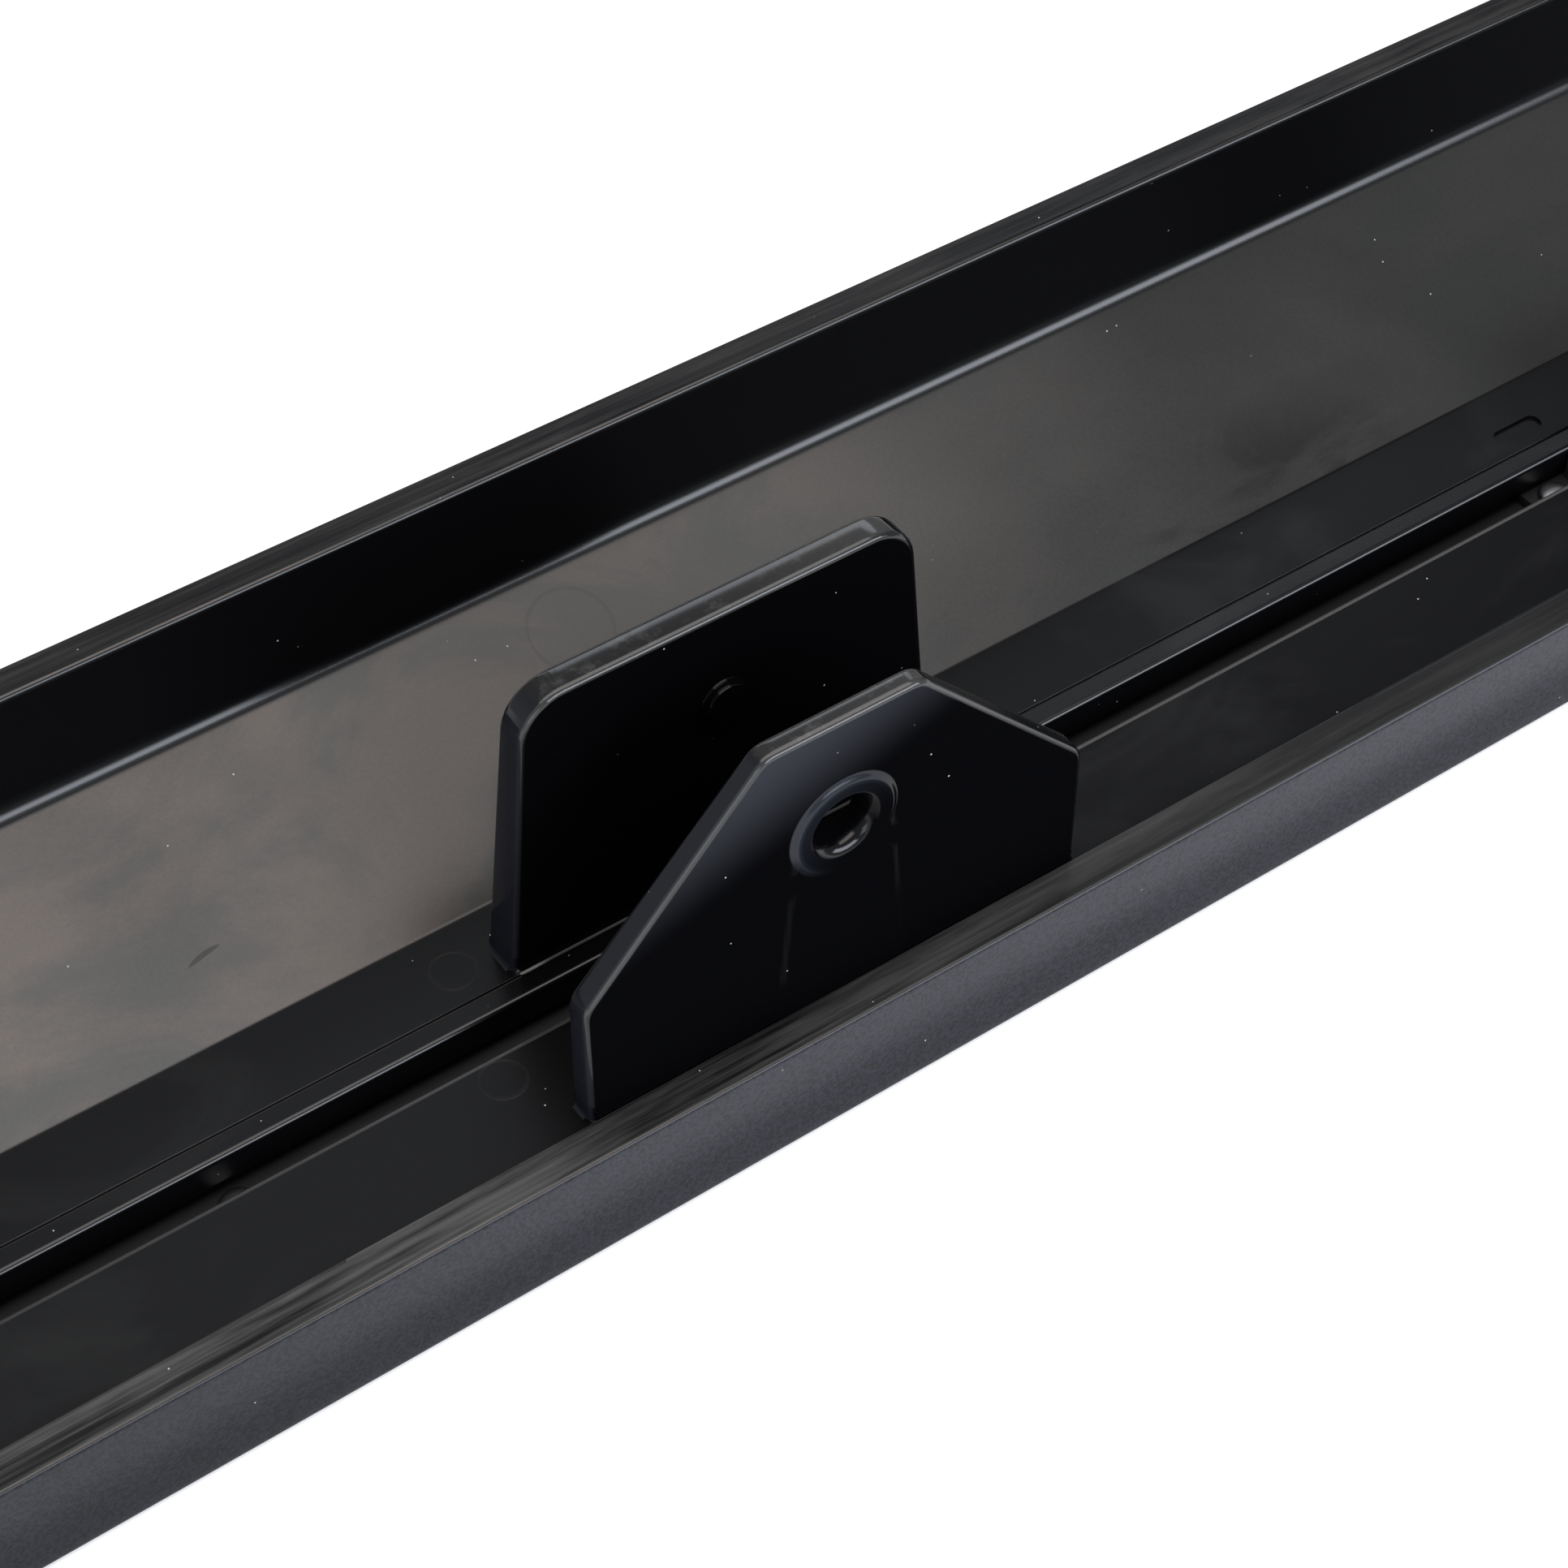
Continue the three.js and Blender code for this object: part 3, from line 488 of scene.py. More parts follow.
def moulded_plastic():
    """Black plastic of the channel: glossy inside, finely grained outside with painted light and shade,
    scuffed along its rims, with a painted highlight on the slot's front edge, and dulled on the ramp
    by a dry film with wiped patches whose strength is partly painted glare."""
    scene = bpy.context.scene
    colours, channel = scene.slide_colours, scene.slide_channel
    finish = Finish("moulded_plastic")
    zones = ChannelZones(finish, channel)
    drawn = finish.noise(1500, 5, 0.7, (0.02, 1, 1))
    cloud = finish.noise(22, 3, 0.5, (0.75, 1, 1), 0.6)
    grain = finish.noise(2600, 2, 0.6)
    fine = finish.noise(5200, 2, 0.5)
    marks = moulding_marks(finish, channel)
    rub = rim_scuffs(finish, zones, drawn)
    # The outer faces' paleness is grain with painted light and shade.
    pale, shine = outer_grain_and_painted_light(finish, zones, grain)
    # The ramp film is partly painted glare.
    film, film_tone = ramp_film_and_painted_glare(finish, zones, marks, cloud, grain)
    dust = dust_specks(finish, 0.52)

    base = finish.mix(pale, colours.plastic, colours.matt)
    base = finish.mix(film, base, film_tone)
    # Scuff colour for rim scuffs and ejector marks, and for the painted highlight on the slot's edge.
    base = finish.mix(rub + marks * zones.floor * 0.03 + zones.painted_slot_highlight, base, colours.scuff_and_painted_highlight)
    finish.link("Base Color", finish.mix(dust, base, colours.dust))
    finish.link("Roughness", colours.plastic_gloss + cloud * 0.06 + fine * 0.05 + rub * 0.30
                + zones.outer * 0.22 + zones.sloped * 0.12 + dust * 0.3)
    closed_end = finish.x.ramp(-60, 60) * (0.5 + zones.front * 0.12 - zones.strip * 0.45)
    dull = zones.outer * (1 - shine) + zones.rim * 0.45 + zones.crest * 0.5
    dull = dull + zones.sloped * 0.38 + zones.floor * (0.16 + closed_end)
    finish.link("Coat Weight", 1 - zones.inside - dull)
    finish.fix(Specular_IOR_Level=0.08, Coat_Roughness=0.22)
    relief = fine * (0.25 + zones.outer * 0.9) + grain * (zones.sloped * 0.3 + zones.floor * 0.25)
    finish.bump(relief + drawn * zones.rim * 0.8 + marks * (0.8 + cloud * 0.6), 0.04, 0.7)
    return finish.material


def rim_scuffs(finish, zones, drawn):
    """Grey rubbing on both rims: drawn streaks, worn patches and broad changes added together,
    and weaker along the front rim towards the closed end."""
    worn = finish.noise(220, 4, 0.65, (0.12, 1, 1)).ramp(0.45, 0.72)
    broad = finish.noise(30, 2, 0.5, (0.6, 1, 1)).ramp(0.4, 0.7)
    streaks = drawn.ramp(0.35, 0.8) * 0.6 + worn * 0.5 + broad * 0.25
    along = 1.7 - finish.x.ramp(-100, 95) * 1.45
    return zones.rim * streaks * (zones.crest * 0.55 + (1 - zones.crest) * along)


def outer_grain_and_painted_light(finish, zones, grain):
    """How pale and how shiny the grained outer faces are: the paleness is grain with painted light and
    shade, the front face darker low down, towards the open end and at its foot, and more coat gives a thin
    lighter line at its foot."""
    open_end = 0 - finish.x
    # foot: the lowest band; it darkens the paleness as painted shade and thickens the coat.
    foot = 1 - finish.z.ramp(0.2, 2.4)
    # Painted light: the front face paler higher up, a little less towards the open end.
    rise = zones.front * finish.z.ramp(4.5, 12.5) * (1 - open_end.ramp(10, 95) * 0.3)
    pale = (0.18 + grain.ramp(0.3, 0.7) * 0.75) * (1 - foot * 0.3) * (1 + rise * 0.45)
    # Painted shade: the front face darker towards the open end.
    pale = pale * (1 - zones.front * open_end.ramp(0, 90) * 0.3)
    return zones.outer * pale, 0.12 + rise * 0.27 + zones.front * foot * 0.2


def ramp_film_and_painted_glare(finish, zones, marks, cloud, grain):
    """The film's strength and colour: stronger towards the open end as painted glare, thin in a smear
    near the ramp's foot, faint on the floors, and turning from brown to grey at both ends."""
    x, colours = finish.x, bpy.context.scene.slide_colours
    wiped = finish.noise(34, 6, 0.6, (0.8, 1.2, 1.2), 1.1)
    smear = finish.noise(70, 5, 0.62, (0.45, 1, 1), 1.2).ramp(0.42, 0.58)
    smear = smear * x.ramp(62, 74) * (1 - x.ramp(92, 112)) * (1 - finish.y.ramp(18, 29))
    # Painted glare: the film is made stronger towards the open end of the ramp.
    painted_glare = 0.74 - x.ramp(-70, 5) * 0.22 + x.ramp(25, 45) * 0.08 - x.ramp(60, 88) * 0.22
    film = zones.sloped * painted_glare * (0.40 + cloud.ramp(0.3, 0.7) * 0.40 + grain * 0.34)
    film = film * (1 - smear * 0.5) * (1 - marks * 0.16)
    film = film + zones.floor * wiped.ramp(0.52, 0.75) * 0.10
    grey = x.ramp(0, 55) * 0.8 + (0 - x).ramp(85, 180) * 0.5
    patches = wiped.ramp(0.40, 0.62) * (1 - grey) + grey
    tone = finish.mix(patches, colours.warm_film_and_painted_glare, colours.cool_film_and_painted_glare)
    return film * (1 - scratch(finish) * 0.95), tone


def scratch(finish):
    """A short dark scratch on the ramp: a thin ellipse, a little turned, and bent into a bow
    because the place across it grows with the square of the place along it."""
    cosine, sine, bow = 0.985, 0.17, 0.035
    x, y = finish.x - SCRATCH[0], finish.y - SCRATCH[1]
    along = x * cosine + y * sine
    across = y * cosine - x * sine + along * along * bow
    return 1 - (along * along / 5.0 + across * across / 0.09).ramp(0.5, 1.0)


def dust_specks(finish, rarity):
    """Small bright specks, scattered thinly."""
    dot = 1 - finish.specks(330).ramp(0.022, 0.042)
    return dot * finish.noise(90, 2, 0.5).ramp(rarity, rarity + 0.05)


def moulding_marks(finish, channel):
    """Fine steps round the ejector marks on the ramp and floors: a ring lies where the distance
    from a mark's middle, measured along the ramp's slope, is its radius."""
    slope = channel.ramp_rise / (CHANNEL_HIGH[1] - channel.fence - channel.ramp_foot)
    total = 0
    for x, y, radius in EJECTORS:
        stretch = math.hypot(1, slope) if y > channel.ramp_foot else 1.0
        across = (finish.y - y) * stretch
        out = ((finish.x - x) * (finish.x - x) + across * across).math("SQRT")
        off = (out - radius).math("ABSOLUTE")
        total = total + (1 - off.ramp(0.05, 0.28)) * finish.facing_z.ramp(0.8, 0.86) * 1.6
    return total


def ear_plastic():
    """The same plastic where the mould is polished: deep black faces, a painted bluish sheen on the left
    sides, the ring and the front ear's upper face, a gloss and a painted highlight on rounded edges, and
    grey tops from scuffs and painted light."""
    scene = bpy.context.scene
    colours, channel, ears = scene.slide_colours, scene.slide_channel, scene.slide_ears
    finish = Finish("ear_plastic")
    x, y, z = finish.x, finish.y, finish.z
    forward, left, up = 0 - finish.facing_y, 0 - finish.facing_x, finish.facing_z
    axis, boss, rim = channel.floor + ears.axis, ears.boss / 2, ears.hole_rim / 2
    front = y.below(0)
    from_axis = (x * x + (z - axis) * (z - axis)).math("SQRT")
    past_boss = from_axis.ramp(boss + 0.4, boss + 1.0)
    clear = past_boss * z.above(channel.floor + 2)

    worn = finish.noise(420, 4, 0.7).ramp(0.5, 0.72)
    top = up.ramp(0.8, 0.97) * clear
    # Scuffs and painted light on the tops: worn patches and the rise towards +X are rubbing, the even grey,
    # stronger on the front ear, is painted light.
    rub = top * (worn * 0.4 + 0.12 + front * 0.12 + x.ramp(-8, 22) * 0.3)
    # Faces turned to the left: they get the painted bluish sheen and some coat.
    side = left.ramp(0.3, 0.95) * past_boss
    ring = (1 - from_axis.ramp(boss + 0.2, boss + 0.5)) * from_axis.ramp(rim - 0.15, rim + 0.05)
    ring = ring * forward.ramp(0.5, 0.8) * front
    # Painted highlight on the ring, lighter towards its upper left and its crown.
    lit = (z - axis - x * 0.8).ramp(-5, 9)
    painted_ring_highlight = ring * lit * (0.25 + from_axis.ramp(boss - 1.0, boss - 0.3) * 0.45)
    by_hole = (1 - from_axis.ramp(rim + 0.05, rim + 0.35)) * front
    rib = (axis - z).ramp(0, 3) * (1 - x.math("ABSOLUTE").ramp(9, 12))
    # Painted light: the front ear's face lighter towards its top and left.
    upper = (z - x * 0.35).ramp(axis + 3, axis + 19) * front * forward.ramp(0.8, 0.95)
    bent = forward.ramp(0.2, 0.5) * (1 - forward.ramp(0.95, 0.992))
    # Painted highlight: a grey line along the rounded outline edges on the left part, stronger where an
    # edge faces up.
    line = bent * clear * (1 - rib) * (0 - x).ramp(-26, -8) * (0.12 + up.ramp(0.1, 0.4) * 0.28)
    dust = dust_specks(finish, 0.47)
    fine = finish.noise(4200, 2, 0.5)

    # Painted sheen: bluish light painted on the left sides, the front ear's upper face and the ring.
    painted_sheen = side * 0.55 + upper * (1 - ring) * 0.7 + painted_ring_highlight
    base = finish.mix(painted_sheen, colours.plastic, colours.painted_sheen)
    # Scuff colour: rubbing and painted light on the tops, and the painted highlight along the edges.
    base = finish.mix(rub + line, base, colours.scuff_and_painted_highlight)
    finish.link("Base Color", finish.mix(dust, base, colours.dust))
    finish.link("Roughness", colours.plastic_gloss + fine * 0.06 + rub * 0.25)
    bevel = by_hole * y.below(1.2 - ears.front_face)
    rolled = up.ramp(0.2, 0.5) * (clear + bevel)
    foot = up.ramp(0.15, 0.5) * (0 - x).ramp(22, 25)
    coat = rolled + side * clear * 0.4 + upper * 0.22 + foot
    coat = coat + bent * (0.45 - rib * 0.38 - by_hole * 0.25)
    finish.link("Coat Weight", coat.math("MINIMUM", 1.0))
    finish.fix(Specular_IOR_Level=0.0, Coat_Roughness=0.15)
    finish.bump(fine, 0.02, 0.5)
    return finish.material


def drawn_steel(name, tone, roughness, metallic):
    """Steel drawn along its length: long fine lines, and small cloudy changes of gloss."""
    finish = Finish(name)
    lines = finish.noise(2600, 3, 0.6, (0.012, 1, 1))
    cloud = finish.noise(110, 4, 0.6)
    darker = tuple(c * 0.72 for c in tone)
    finish.link("Base Color", finish.mix(lines * 0.5 + cloud * 0.4, tone, darker))
    finish.link("Roughness", roughness + lines * 0.12 + cloud * 0.08)
    finish.fix(Metallic=metallic)
    finish.bump(lines, 0.012, 0.5)
    return finish.material


def even_finish(name, tone, roughness, metallic=0.0, grain=2500):
    """A plain moulded or polished surface with a fine grain and a slight change of gloss."""
    finish = Finish(name)
    fine = finish.noise(grain, 3, 0.55)
    cloud = finish.noise(grain / 25, 3, 0.5)
    finish.link("Base Color", finish.mix(cloud * 0.5, tone, tuple(c * 0.8 for c in tone)))
    finish.link("Roughness", roughness + fine * 0.08 + cloud * 0.05)
    finish.fix(Metallic=metallic)
    finish.bump(fine, 0.01, 0.4)
    return finish.material


FINISHES = {}


def finish_for(name):
    """Each finish is made once, when the first piece asks for it."""
    if name not in FINISHES:
        colours = bpy.context.scene.slide_colours
        makers = {
            "channel": moulded_plastic,
            "ear": ear_plastic,
            "zinc": lambda: drawn_steel("zinc_plate", tuple(colours.zinc), 0.22, 1.0),
            "coat": lambda: drawn_steel("black_coat", tuple(colours.coat), 0.34, 0.0),
            "ball": lambda: even_finish("ball_steel", tuple(colours.ball), 0.08, 1.0, 1500),
            "rubber": lambda: even_finish("black_rubber", tuple(colours.rubber), 0.7),
            "nylon": lambda: even_finish("grey_nylon", tuple(colours.nylon), 0.45),
        }
        FINISHES[name] = makers[name]()
    return FINISHES[name]


# ------------------------------------------------------------------ channel
def slot_opening(channel, x):
    """Half width of the slot at x: full between its ends, and a half circle at each end."""
    half = channel.slot / 2
    past = np.maximum(-channel.slot_start + half - x, x - channel.slot_end + half)
    return half * np.sqrt(np.clip(1 - (np.clip(past, 0, half) / half) ** 2, 0, 1))


def front_rail_section(channel):
    """Section of the channel in front of the slot's middle: wall, rim, floor and slot lip."""
    half = channel.slot / 2
    cavity = -channel.cavity / 2
    front = CHANNEL_LOW[1]
    rim = channel.floor + channel.rim_rise
    under = channel.floor - channel.floor_thickness
    lip = -half - channel.slot_lip
    return rounded([
        (front, 0, 0.9), (front, rim, 0.5), (cavity, rim, 0.22), (cavity, channel.floor, 0.25),
        (-half, channel.floor, 0.6), (-half, channel.lip_bottom, 0.2), (lip, channel.lip_bottom, 0.2),
        (lip, under, 0.4), (cavity, under, 0.6), (cavity, 0, 0.3),
    ], lead=0.04)


def rear_rail_section(channel):
    """Section behind the slot's middle: lip, strip, fine groove, floor, ramp, fence and leg."""
    half = channel.slot / 2
    cavity = channel.cavity / 2
    floor = channel.floor
    under = floor - channel.floor_thickness
    back = CHANNEL_HIGH[1]
    fence = back - channel.fence
    leg = cavity + channel.leg
    lip = half + channel.slot_lip
    groove = channel.groove
    return rounded([
        (half, floor, 0.6), (groove - 0.3, floor, 0.06), (groove, floor - 0.32, 0.05),
        (groove + 0.16, floor, 0.04), (channel.ramp_foot, floor, 1.2),
        (fence, floor + channel.ramp_rise, 2.8), (fence, channel.fence_top, 0.7),
        (back, channel.fence_top, 0.5), (back, 0, 0.5), (fence, 0, 0.5),
        (fence, ramp_under(channel, fence), 0.8), (leg, ramp_under(channel, leg), 0.8), (leg, 0, 0.4),
        (cavity, 0, 0.3), (cavity, under, 0.6), (lip, under, 0.4), (lip, channel.lip_bottom, 0.2),
        (half, channel.lip_bottom, 0.2),
    ], lead=0.05)


def rail_sheets(channel, section, side, stations):
    """A rail of the channel.  Past the slot's ends the two rails close on each other: their slot
    edges move to the middle and flatten into the floor, and the walls between them are left out."""
    near, level = 0.5, channel.floor - 1.5
    points = carried(section, stations)
    half = channel.slot / 2
    shut = (1 - slot_opening(channel, stations) / half)[:, None]
    reach, height = section[:, 0] * side, section[:, 1]
    at_edge = reach < half + near
    in_lip = (reach < half + channel.slot_lip + near) & (height < level)
    points[:, at_edge, 1] -= side * half * shut
    high = at_edge & (height > level)
    points[:, high, 2] += (channel.floor - points[:, high, 2]) * shut
    under = channel.floor - channel.floor_thickness
    points[:, in_lip, 2] += (under - points[:, in_lip, 2]) * shut
    quads = grid_faces(*points.shape[:2], close_columns=True)
    wall = np.abs(reach - half) < 1e-6
    across = wall & np.roll(wall, -1) & (np.abs(height - np.roll(height, -1)) > near)
    if side < 0:
        rim_corner = np.abs(section[:, 0] + channel.cavity / 2) < 0.4
        step_back = rim_corner & (height > channel.floor + 0.2)
        points[:, step_back, 1] -= channel.witness * rim_is_cut_back(channel, stations)[:, None]
    closed = shut[:, 0] > 0.9999
    gone = (closed[:-1] & closed[1:])[:, None] & across[None, :]
    ends = [(points[0], None), (points[-1], None)]
    return [(points, quads[~gone]), *ends]


def rim_is_cut_back(channel, x):
    """1 where the front rim's inner edge stands back, beyond the mould's middle insert, else 0."""
    return ((x < channel.insert_start) | (x > channel.insert_end)).astype(float)


def channel_stations(channel):
    """Places along the channel, close together where the slot's ends are round."""
    half = channel.slot / 2
    bend = half * (1 - np.cos(np.linspace(0, np.pi / 2, 13)))
    first, last = -channel.slot_start, channel.slot_end
    step = np.array([-0.06, 0.06])
    return np.unique(np.round(np.concatenate([
        channel.insert_start + step, channel.insert_end + step,
        np.linspace(CHANNEL_LOW[0], first, 5), first + bend,
        np.linspace(first + half, last - half, 80),
        last - bend, np.linspace(last, CHANNEL_HIGH[0], 12)]), 6))


def cut_holes(piece, name, cutters):
    """Takes closed cutters out of a channel piece and leaves one plain mesh."""
    tool = make_piece(name, cutters, finish_for("channel"), "frame")
    cut = piece.modifiers.new("holes", "BOOLEAN")
    cut.operation = "DIFFERENCE"
    cut.solver = "EXACT"
    cut.object = tool
    bpy.context.view_layer.update()
    made = bpy.data.meshes.new_from_object(piece.evaluated_get(bpy.context.evaluated_depsgraph_get()))
    piece.modifiers.clear()
    piece.data = made
    bpy.data.objects.remove(tool)
    finish_piece(piece, finish_for("channel"), "frame")


class SLIDE_OT_channel(Operator):
    """Builds the moulded channel with its slot, ramp and fence"""
    bl_idname = "slide.channel"
    bl_label = "Channel"

    def execute(self, context):
        channel = settings()[0]
        stations = channel_stations(channel)
        sheets = [*rail_sheets(channel, front_rail_section(channel), -1, stations),
                  *rail_sheets(channel, rear_rail_section(channel), 1, stations)]
        piece = make_piece("channel_shell", sheets, finish_for("channel"), "frame")
        cut_holes(piece, "hole_cutters", screw_cutters(channel))
        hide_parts("channel_housing")
        return {"FINISHED"}


def screw_cutters(channel):
    """Countersunk holes through the fence, the small pocket in the rear floor, and the seats of
    the side screws.  A cutter starts a little outside the face that it cuts."""
    outside, past = 1.0, 2.3
    head, shank, cone = 4.9, 2.4, 2.5
    fence = CHANNEL_HIGH[1] - channel.fence
    middle = (channel.floor + channel.ramp_rise + channel.fence_top) / 2
    deep = channel.fence + past
    countersunk = [(0, -outside), (head, -outside), (head, 0.0), (shank, cone), (shank, deep), (0, deep)]
    cutters = []
    for x in (-channel.fixing, channel.fixing):
        cutters += turned(countersunk, (x, fence, middle), (0, 1, 0), 48)
    pocket = rounded([(x, y, 1.0) for x, y in POCKET])
    ends = np.array([channel.floor - channel.pocket_depth, channel.floor + outside])
    sides = np.stack([np.column_stack([pocket, np.full(len(pocket), z)]) for z in ends])
    cutters += [(sides, grid_faces(2, len(pocket), close_columns=True)),
                (sides[0], None), (sides[1], None)]
    head, seat, shank, deep = 2.8, 1.75, 1.55, 8.0
    seat_profile = [(0, -outside), (head, -outside), (head, seat), (shank, seat + 0.05),
                    (shank, deep), (0, deep)]
    for number in (1, 3):
        low, high = node_box(f"side_screw_{number}")
        centre = (low + high) / 2
        cutters += turned(seat_profile, (centre[0], CHANNEL_LOW[1], centre[2]), (0, 1, 0), 40)
    return cutters


class SLIDE_OT_ribs(Operator):
    """Builds the ribs and screw bosses under the ramp"""
    bl_idname = "slide.ribs"
    bl_label = "Ribs"

    def execute(self, context):
        channel = settings()[0]
        sunk, half_rib = 0.4, 0.8
        leg = channel.cavity / 2 + channel.leg - sunk
        fence = CHANNEL_HIGH[1] - channel.fence + sunk
        low, high = ramp_under(channel, leg), ramp_under(channel, fence)
        section = rounded([
            (leg, low - channel.rib_depth, 0.3), (fence, high - channel.rib_depth, 0.3),
            (fence, high + sunk, 0.1), (leg, low + sunk, 0.1)], 3, 0.05)
        sheets = []
        reach = 4 * channel.rib_pitch
        for x in np.arange(-reach, reach + 1, channel.rib_pitch):
            sheets += swept(section, x + np.array([-half_rib, half_rib]))
        sheets += boss_sheets()
        fitted("channel_housing", "bay_ribs", sheets, "channel", "frame")
        return {"FINISHED"}


def boss_sheets():
    """The four square blocks that the end cap screws bite into, round the screws' shanks."""
    half, length, shy = 3.5, 12.0, 0.05
    sheets = []
    for number in range(1, 5):
        low, high = node_box(f"end_cap_screw_{number}")
        _, y, z = (low + high) / 2
        end = CHANNEL_LOW[0] if low[0] < 0 else CHANNEL_HIGH[0]
        section = rounded([(y - half, z - half, 0.6), (y + half, z - half, 0.6),
                           (y + half, z + half, 0.6), (y - half, z + half, 0.6)])
        sheets += swept(section, end - math.copysign(1, end) * np.array([length, shy]))
    return sheets


# ------------------------------------------------------------------ ears
def outline_half_width(corners, steps, z):
    """Half width of a rounded outline at heights z, from the right side of its corners."""
    edge = rounded(corners, steps, 0.01)
    right = edge[edge[:, 0] > 0]
    order = np.argsort(right[:, 1], kind="stable")
    return np.interp(z, right[order, 1], right[order, 0])


def distance_inside(outline, x, z):
    """Distance from each point to the nearest side of a closed outline: a point is dropped
    square onto each side, the foot is kept between the side's ends, and the least is taken."""
    side = np.roll(outline, -1, 0) - outline
    flat = np.stack([x.ravel(), z.ravel()], -1)
    best = np.full(len(flat), np.inf)
    for start, along, squared in zip(outline, side, (side ** 2).sum(1)):
        if squared > 1e-12:
            share = np.clip(((flat - start) @ along) / squared, 0, 1)
            best = np.minimum(best, np.linalg.norm(flat - start - share[:, None] * along, axis=1))
    return best.reshape(x.shape)


def step_up(value, width):
    """Smooth 0 to 1 as value goes from -width to width."""
    t = np.clip((value + width) / (2 * width), 0, 1)
    return t * t * (3 - 2 * t)


class EarShape:
    """An upright plate: an outline in X and Z, two leaning faces, bevelled edges, and a foot that
    curves out into the floor."""

    STEPS = 8

    def __init__(self, ears, floor, corners, face, base, tip, height):
        self.floor, self.bottom, self.top = floor, floor - ears.sunk, floor + height
        self.edge, self.fillet = ears.edge, ears.fillet
        self.corners, self.outline = corners, rounded(corners, self.STEPS, 0.02)
        self.face, self.base, self.tip = face, base, tip

    def flare(self, z):
        """How far the foot's quarter circle stands out at height z."""
        t = np.clip(z - self.floor, 0.0, self.fillet)
        return self.fillet - np.sqrt(self.fillet ** 2 - (self.fillet - t) ** 2)

    def half_width(self, z):
        """Half of the ear's width at heights z."""
        return outline_half_width(self.corners, self.STEPS, z)

    def soften(self, distance):
        """How far a quarter circle sets the face back near the outline."""
        short = self.edge - np.clip(distance, 0, self.edge)
        return self.edge - np.sqrt(self.edge ** 2 - short ** 2)

    def inside(self, x, z):
        """Distance in from the outline's upper sides, 0 outside it."""
        level = np.maximum(z, self.bottom + 2 * self.edge)
        return np.where(np.abs(x) > self.half_width(level), 0, distance_inside(self.outline, x, level))

    def foot(self, inside, z):
        """The foot's curve, rounded off in plan at the ear's corners."""
        short = 1 - np.clip(inside / (2 * self.fillet), 0, 1)
        return self.flare(z) * np.sqrt(1 - short ** 2)

    def front(self, x, z, relief=0.0):
        """Y of the front face, with any relief standing out of it."""
        inside = self.inside(x, z)
        return self.face + self.soften(inside) - self.foot(inside, z) - relief

    def back(self, x, z):
        """Y of the back face, which leans because the ear thins towards its top."""
        rise = np.clip((z - self.bottom) / (self.top - self.bottom), 0, 1)
        thickness = self.base + (self.tip - self.base) * rise
        inside = self.inside(x, z)
        return self.face + thickness - self.soften(inside) + self.foot(inside, z)


def ear_columns(middle):
    """Places across an ear, from -1 at its left side to 1 at its right, with a number of columns
    over the middle half and close together at the sides."""
    return spaced(-1, 8, -0.985, 8, -0.93, 12, -0.5, middle, 0.5, 12, 0.93, 8, 0.985, 8, 1)


def ear_grid(shape, columns, rows):
    """Points over the outline: upright lines near the middle, fanning out to the sides."""
    centre_half, side_flare = 9.0, 0.7
    z = rows[:, None]
    half = shape.half_width(rows)[:, None] + shape.flare(z) * side_flare
    inner = np.minimum(centre_half, half * 0.9)
    share = columns[None, :]
    x = np.where(np.abs(share) <= 0.5, share / 0.5 * inner,
                 np.sign(share) * (inner + (np.abs(share) - 0.5) / 0.5 * (half - inner)))
    return x, np.broadcast_to(z, x.shape)


def punched(x, z, block, centre, radii):
    """Replaces a block of grid cells by rings round a centre.

    block is (first row, last row, first column, last column).  Returns the rings' X and Z, the
    outermost being the block's own border, and a mask of the grid's cells to leave out."""
    r0, r1, c0, c1 = block
    loop_r = np.concatenate([np.arange(r0, r1), np.full(c1 - c0, r1), np.arange(r1, r0, -1),
                             np.full(c1 - c0, r0)])
    loop_c = np.concatenate([np.full(r1 - r0, c0), np.arange(c0, c1), np.full(r1 - r0, c1),
                             np.arange(c1, c0, -1)])
    border = np.stack([x[loop_r, loop_c], z[loop_r, loop_c]], -1)
    spoke = border - np.array(centre)
    direction = spoke / np.linalg.norm(spoke, axis=1, keepdims=True)
    rings = [np.array(centre) + direction * radius for radius in radii] + [border]
    rings = np.stack(rings)
    missing = np.zeros((x.shape[0] - 1, x.shape[1] - 1), bool)
    missing[r0:r1, c0:c1] = True
    return rings[..., 0], rings[..., 1], missing


def stacked(x, y, z):
    """Points from three arrays of places."""
    return np.stack([x, y, z], -1)


